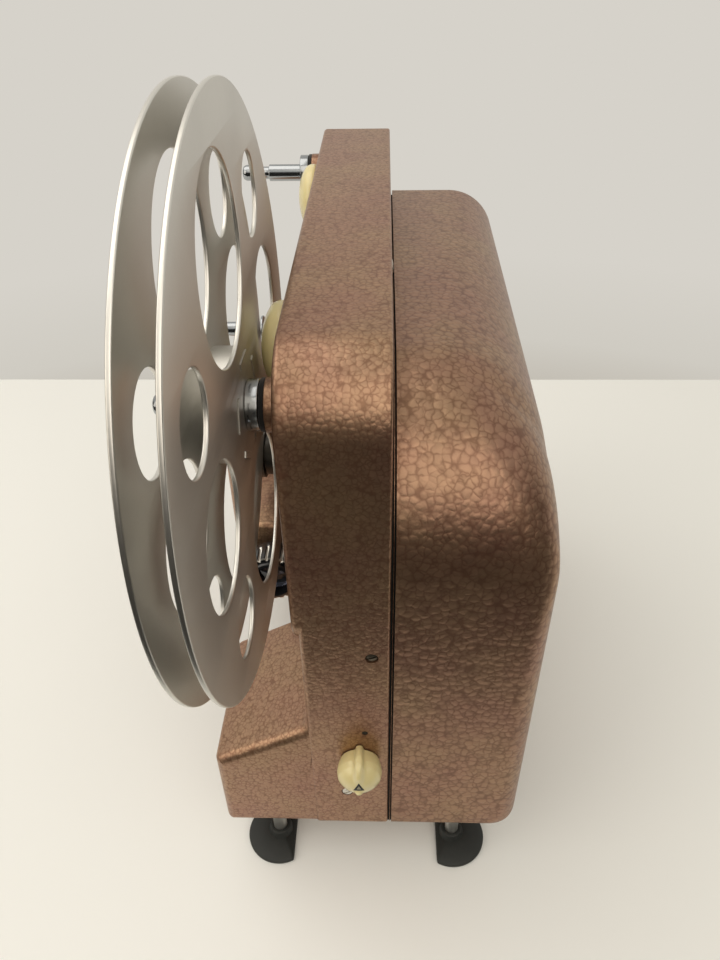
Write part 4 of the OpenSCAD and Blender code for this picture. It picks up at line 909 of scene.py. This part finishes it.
dip = np.clip(np.cos(SCALLOPS * t) - 0.15, 0, None) / 0.85
radius = rows[:, 1:2] - dip * rows[:, 2:]
ring_grid = np.stack([FILM_X + radius * np.cos(t), np.broadcast_to(rows[:, :1], radius.shape),
                      LENS_Z + radius * np.sin(t)], -1)
ring_mesh = closed("focusing_ring", ring_grid, 35)
ring_mesh.materials.append(BLACK_TUBE)
ring_mesh.materials.append(CUT_EDGE_AND_HIGHLIGHT)
middles = vectors(ring_mesh.polygons, "center") * 1000 + MIDDLE
from_axis = np.hypot(middles[:, 0] - FILM_X, middles[:, 2] - LENS_Z)
# Painted highlight: the scallop faces take the bright metal, for the glints on the ring's front edge.
scallop_highlight_faces = (from_axis > 10.4) & (from_axis < 11.72) & (middles[:, 1] > 58.1) & (middles[:, 1] < 66)
ring_mesh.polygons.foreach_set("material_index", scallop_highlight_faces.astype(np.int32))
piece("focusing_ring", ring_mesh, None, "focus", ["focus_ring"])
print("focusing ring:", SCALLOPS, "scallops,", int(scallop_highlight_faces.sum()), "bright faces")

# %% [markdown]
# ## Lens glass
# Front and rear elements are turned from two curved faces. A weak bluish coat stands for the bloom that
# such lenses have.

# %% Lens glass
def lens_profile(front, rear, radius, bulge_front, bulge_rear, steps=14):
    """Two faces of a lens: each falls away from its pole with the square of the distance from the axis."""
    s = np.linspace(0, 1, steps)
    one = np.column_stack([front + bulge_front * s ** 2, radius * s])
    two = np.column_stack([rear - bulge_rear * s ** 2, radius * s])[::-1]
    return np.concatenate([one, two])


for name, profile, nodes in (("front_lens_glass", lens_profile(60.0, 66.6, 8.1, 1.4, 0.3), ["lens_glass"]),
                             ("rear_lens_glass", lens_profile(101.5, 109.0, 6.5, 0.2, 1.1), ())):
    made = closed(name, turned("y", (FILM_X, 0, LENS_Z), profile, 72), 60)
    piece(name, made, LENS_GLASS, "lens", nodes)
print("lens glass: 2 elements")

# %% [markdown]
# ## The lens block
# A painted block slides forward on two rods to open the gate for threading. Its front and top edges are
# rounded, and it is bored for the tube and the rods.

# %% Lens block
block_out, block_in = FILM_X - 13, -33.0
block_line = [(block_out, 98), (block_in, 98), (block_in, 136), (block_out, 136)]
block_grid = slab("y", block_line, [6, 2, 2, 6], both_edges(71.0, 117.0, 2.4, 0.8), steps=10)
bores = [drill("y", (FILM_X, 0, LENS_Z), 69, 119, 10.05, 96)]
bores += [drill("y", (-36.7, 0, LENS_Z + k), 69, 119, 2.55) for k in (-14, 14)]
block_mesh = settle(cut(closed("lens_block_casting", block_grid), bores), 35, False)
piece("lens_block_casting", block_mesh, CASTING_ENAMEL_LIT, "lens_carriage", ["lens_block"])
print("lens block: 46 mm long")

# %% [markdown]
# ## The lamp house
# A folded sheet cover slides off sideways to reach the lamp. It is a slab with rounded upright corners,
# hollowed by a smaller one, with slots in its top, outer side and underside that let the heat out.

# %% Lamp house
LAMP_OUT, LAMP_IN, LAMP_Y, LAMP_LONG = -82.6, -31.7, 131.0, 72
LAMP_Z, LAMP_HIGH, LAMP_SHEET = 64.0, 151.0, 1.6
near, far = LAMP_Y + LAMP_SHEET, LAMP_Y + 70.4
house = [(LAMP_OUT, LAMP_Y), (LAMP_IN, LAMP_Y), (LAMP_IN, LAMP_Y + LAMP_LONG), (LAMP_OUT, LAMP_Y + LAMP_LONG)]
inside = [(LAMP_OUT + LAMP_SHEET, near), (-29, near), (-29, far), (LAMP_OUT + LAMP_SHEET, far)]
house_grid = slab("z", house, [8, 0.2, 0.2, 8], both_edges(LAMP_Z, LAMP_HIGH, LAMP_SHEET, 3.0))
hollow_rows = [(LAMP_Z + LAMP_SHEET, 0), (LAMP_HIGH - LAMP_SHEET, 0)]
house_cuts = [mesh_from_grid("hollow", slab("z", inside, [6.4, 0.2, 0.2, 6.4], hollow_rows), True)]
house_cuts += [drill("y", (FILM_X, 0, LENS_Z), 129, 134, 11, 64)]
for k in LAMP_Y + 12 + 9 * np.arange(6):
    house_cuts += [bar_mesh((LAMP_OUT + 10, k, 148), (-39.2, k + 4, 153))]
for k in LAMP_Z + 14 + 9 * np.arange(7):
    house_cuts += [bar_mesh((LAMP_OUT - 1, LAMP_Y + 14, k), (LAMP_OUT + 3, LAMP_Y + 58, k + 4))]
for k in LAMP_Y + 14 + 14 * np.arange(4):
    house_cuts += [bar_mesh((LAMP_OUT + 12, k, 62), (-41.2, k + 5, 67))]
house_mesh = settle(cut(closed("lamp_house_cover", house_grid), house_cuts), 40, False)
piece("lamp_house_cover", house_mesh, CASTING_ENAMEL_LIT, "lamp_cover", ["lamp_house"])
print("lamp house:", len(house_cuts) - 2, "cooling slots")

# %% [markdown]
# ## Film rollers
# Film runs over two flanged rollers, turned like the spindles. Each spins on a fixed post that is thicker
# behind the roller and ends in a rounded cap before it.

# %% Film rollers
spool = [(-5.6, 2.05), (-5.6, 5.3), (-5.3, 5.6), (-4.6, 5.6), (-4.2, 5.0), (-4.0, 4.0), (4.0, 4.0), (4.2, 5.0),
         (4.6, 5.6), (5.3, 5.6), (5.6, 5.3), (5.6, 2.05), (-5.6, 2.05)]
for end, y, z, root_x, nodes in (("upper", 125.6, 201.0, DECK_X, ["roller_posts"]),
                                 ("lower", 119.6, 61.0, FACE_X, ())):
    at, root = (FILM_X, y, z), root_x - FILM_X
    turned_piece(f"{end}_film_spool", "x", at, spool, CHROME, f"{end}_film_roller",
                 [f"{end}_roller"], 56, 0.2)
    post = [(-21.0, 0), (-21.0, 2.4), (-20.4, 3.0), (-6.3, 3.0), (-6.3, 2.0), (6.2, 2.0), (6.2, 4.0),
            (root, 4.0), (root, 0)]
    turned_piece(f"{end}_roller_post", "x", at, post, CHROME, "body", nodes, 48)
print("rollers: 2")

# %% [markdown]
# ## Finishes for the solids that stay
# Everything else keeps its solid: shafts, gate, sprocket, motor, transformer and the small hardware. Each gets
# the finish of its real material.

# %% Finishes on the remaining solids
KEPT = {
    "mechanism_plate": CASTING_ENAMEL_LIT, "hood_screws": STEEL, "index_dot": BLACK_INK, "front_bush": BRASS,
    "rear_bush": BRASS, "front_pulley": STEEL, "rear_pulley": STEEL, "reel_hub": REEL_SHEET,
    "knob_shaft": STEEL, "rheostat": BAKELITE, "pressure_plate": CHROME, "gate_frame": BLACK_PLATE,
    "gate_rods": CHROME, "lamp_bracket": STEEL, "lamp_socket": CERAMIC, "lamp_bulb": LAMP_GLASS,
    "reflector": MIRROR, "condenser": LENS_GLASS, "shutter": BLACK_PLATE, "main_shaft": STEEL,
    "worm_wheel": FIBRE, "sprocket": OXIDE_STEEL, "motor": LAMINATION, "motor_rotor": STEEL,
    "motor_belt": RUBBER, "takeup_belt": RUBBER, "transformer_core": LAMINATION,
    "transformer_coil": WINDING, "mains_inlet": BAKELITE,
}
for node, material in KEPT.items():
    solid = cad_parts[node]
    solid.data.materials.clear()
    solid.data.materials.append(material)
print("solids that stay:", len(KEPT))

# %% [markdown]
# ## Table and lamps
# The projector stands on a pale table that ends a hand's breadth before it. A broad soft lamp in front gives
# the rounds their highlight, one from the left lights the slope of the outrigger, and one hangs above to the
# left.

# %% Table and lamps
TABLE_HALF, TABLE_EDGE, WALL_Y = 1500.0, -94.0, 446.0
floor_x, floor_y = np.array([-TABLE_HALF, TABLE_HALF]), np.array([TABLE_EDGE, WALL_Y])
floor_grid = np.stack(np.broadcast_arrays(floor_x[None], floor_y[:, None], -0.02), -1)
floor_mesh = mesh_from_grid("table", floor_grid)
floor_mesh.materials.append(coloured("pale_table_laminate", "#F2F4F3", 0.6, 300.0, 0.02))
table = linked("table", floor_mesh)


def lamp(name, place, aim, width_m, watts, hex_colour):
    """A square area lamp at a place in drawing millimetres, turned toward its aim."""
    data = bpy.data.lights.new(name, "AREA")
    data.size, data.energy, data.color = width_m, watts, linear(hex_colour)[:3]
    made = linked(name, data)
    made.location = Vector(metres(place))
    made.rotation_euler = (Vector(metres(aim)) - made.location).to_track_quat("-Z", "Y").to_euler()


lamp("front_softbox", (420, -1350, 1350), (0, 80, 150), 1.8, 11.5, "#FFF4E4")
lamp("left_softbox", (-1500, -800, 750), (-20, 60, 80), 1.2, 7, "#FFF4E4")
lamp("ceiling_lamp", (-900, 250, 1850), (0, 120, 100), 1.8, 14, "#FFF8EE")
print("light: 3 lamps over a pale table")

# %% [markdown]
# ## The room
# The room is bright above and behind but dim in front, low down, where the photographer stood: upright faces
# that mirror that side come out darker than the top. The camera, glass and bright metal see the pale wall
# itself, with a painted shade that darkens it a little toward the table.

# %% Room
world = bpy.data.worlds.new("pale_room")
bpy.context.scene.world = world
world.use_nodes = True
sky = world.node_tree
sky.nodes.clear()
rays = add(sky, "LightPath")
way = add(sky, "SeparateXYZ", None, {0: add(sky, "TexCoord").outputs["Generated"]})
above = add(sky, "MapRange", {"From Min": 0.26, "From Max": 0.5}, {"Value": way.outputs["Z"]},
            interpolation_type="SMOOTHSTEP")
behind = add(sky, "MapRange", {"From Min": 0.0, "From Max": 0.6}, {"Value": way.outputs["Y"]},
             interpolation_type="SMOOTHSTEP")
bright = add(sky, "Math", None, {0: above, 1: behind}, operation="MAXIMUM")
room = add(sky, "MapRange", {"To Min": 0.03, "To Max": 0.68}, {"Value": bright})
dim = add(sky, "Background", {"Color": linear("#F2ECE0")}, {"Strength": room})
# Painted shade: the wall darkens toward the table, where wall and table meet.
low_wall = add(sky, "MapRange", {"From Min": -0.49, "From Max": -0.33}, {"Value": way.outputs["Z"]})
wall_tones_painted_shade = zip((0.0, 0.4, 1.0), map(linear, ("#BFB9AE", "#CFCBC2", "#D6D2CA")))
seen = add(sky, "Background", {"Strength": 1.0}, {"Color": ramp(sky, low_wall, list(wall_tones_painted_shade))})
shiny = add(sky, "Math", None, {0: rays.outputs["Is Glossy Ray"], 1: bright}, operation="MULTIPLY")
clear = add(sky, "Math", None, {0: rays.outputs["Is Camera Ray"], 1: rays.outputs["Is Transmission Ray"]},
            operation="MAXIMUM")
shown = add(sky, "Math", None, {0: shiny, 1: clear}, operation="MAXIMUM")
mixed = add(sky, "MixShader", None, {0: shown, 1: dim, 2: seen})
add(sky, "OutputWorld", None, {"Surface": mixed})
bpy.context.scene.view_settings.view_transform = "Standard"
print("room:", len(sky.nodes), "nodes")
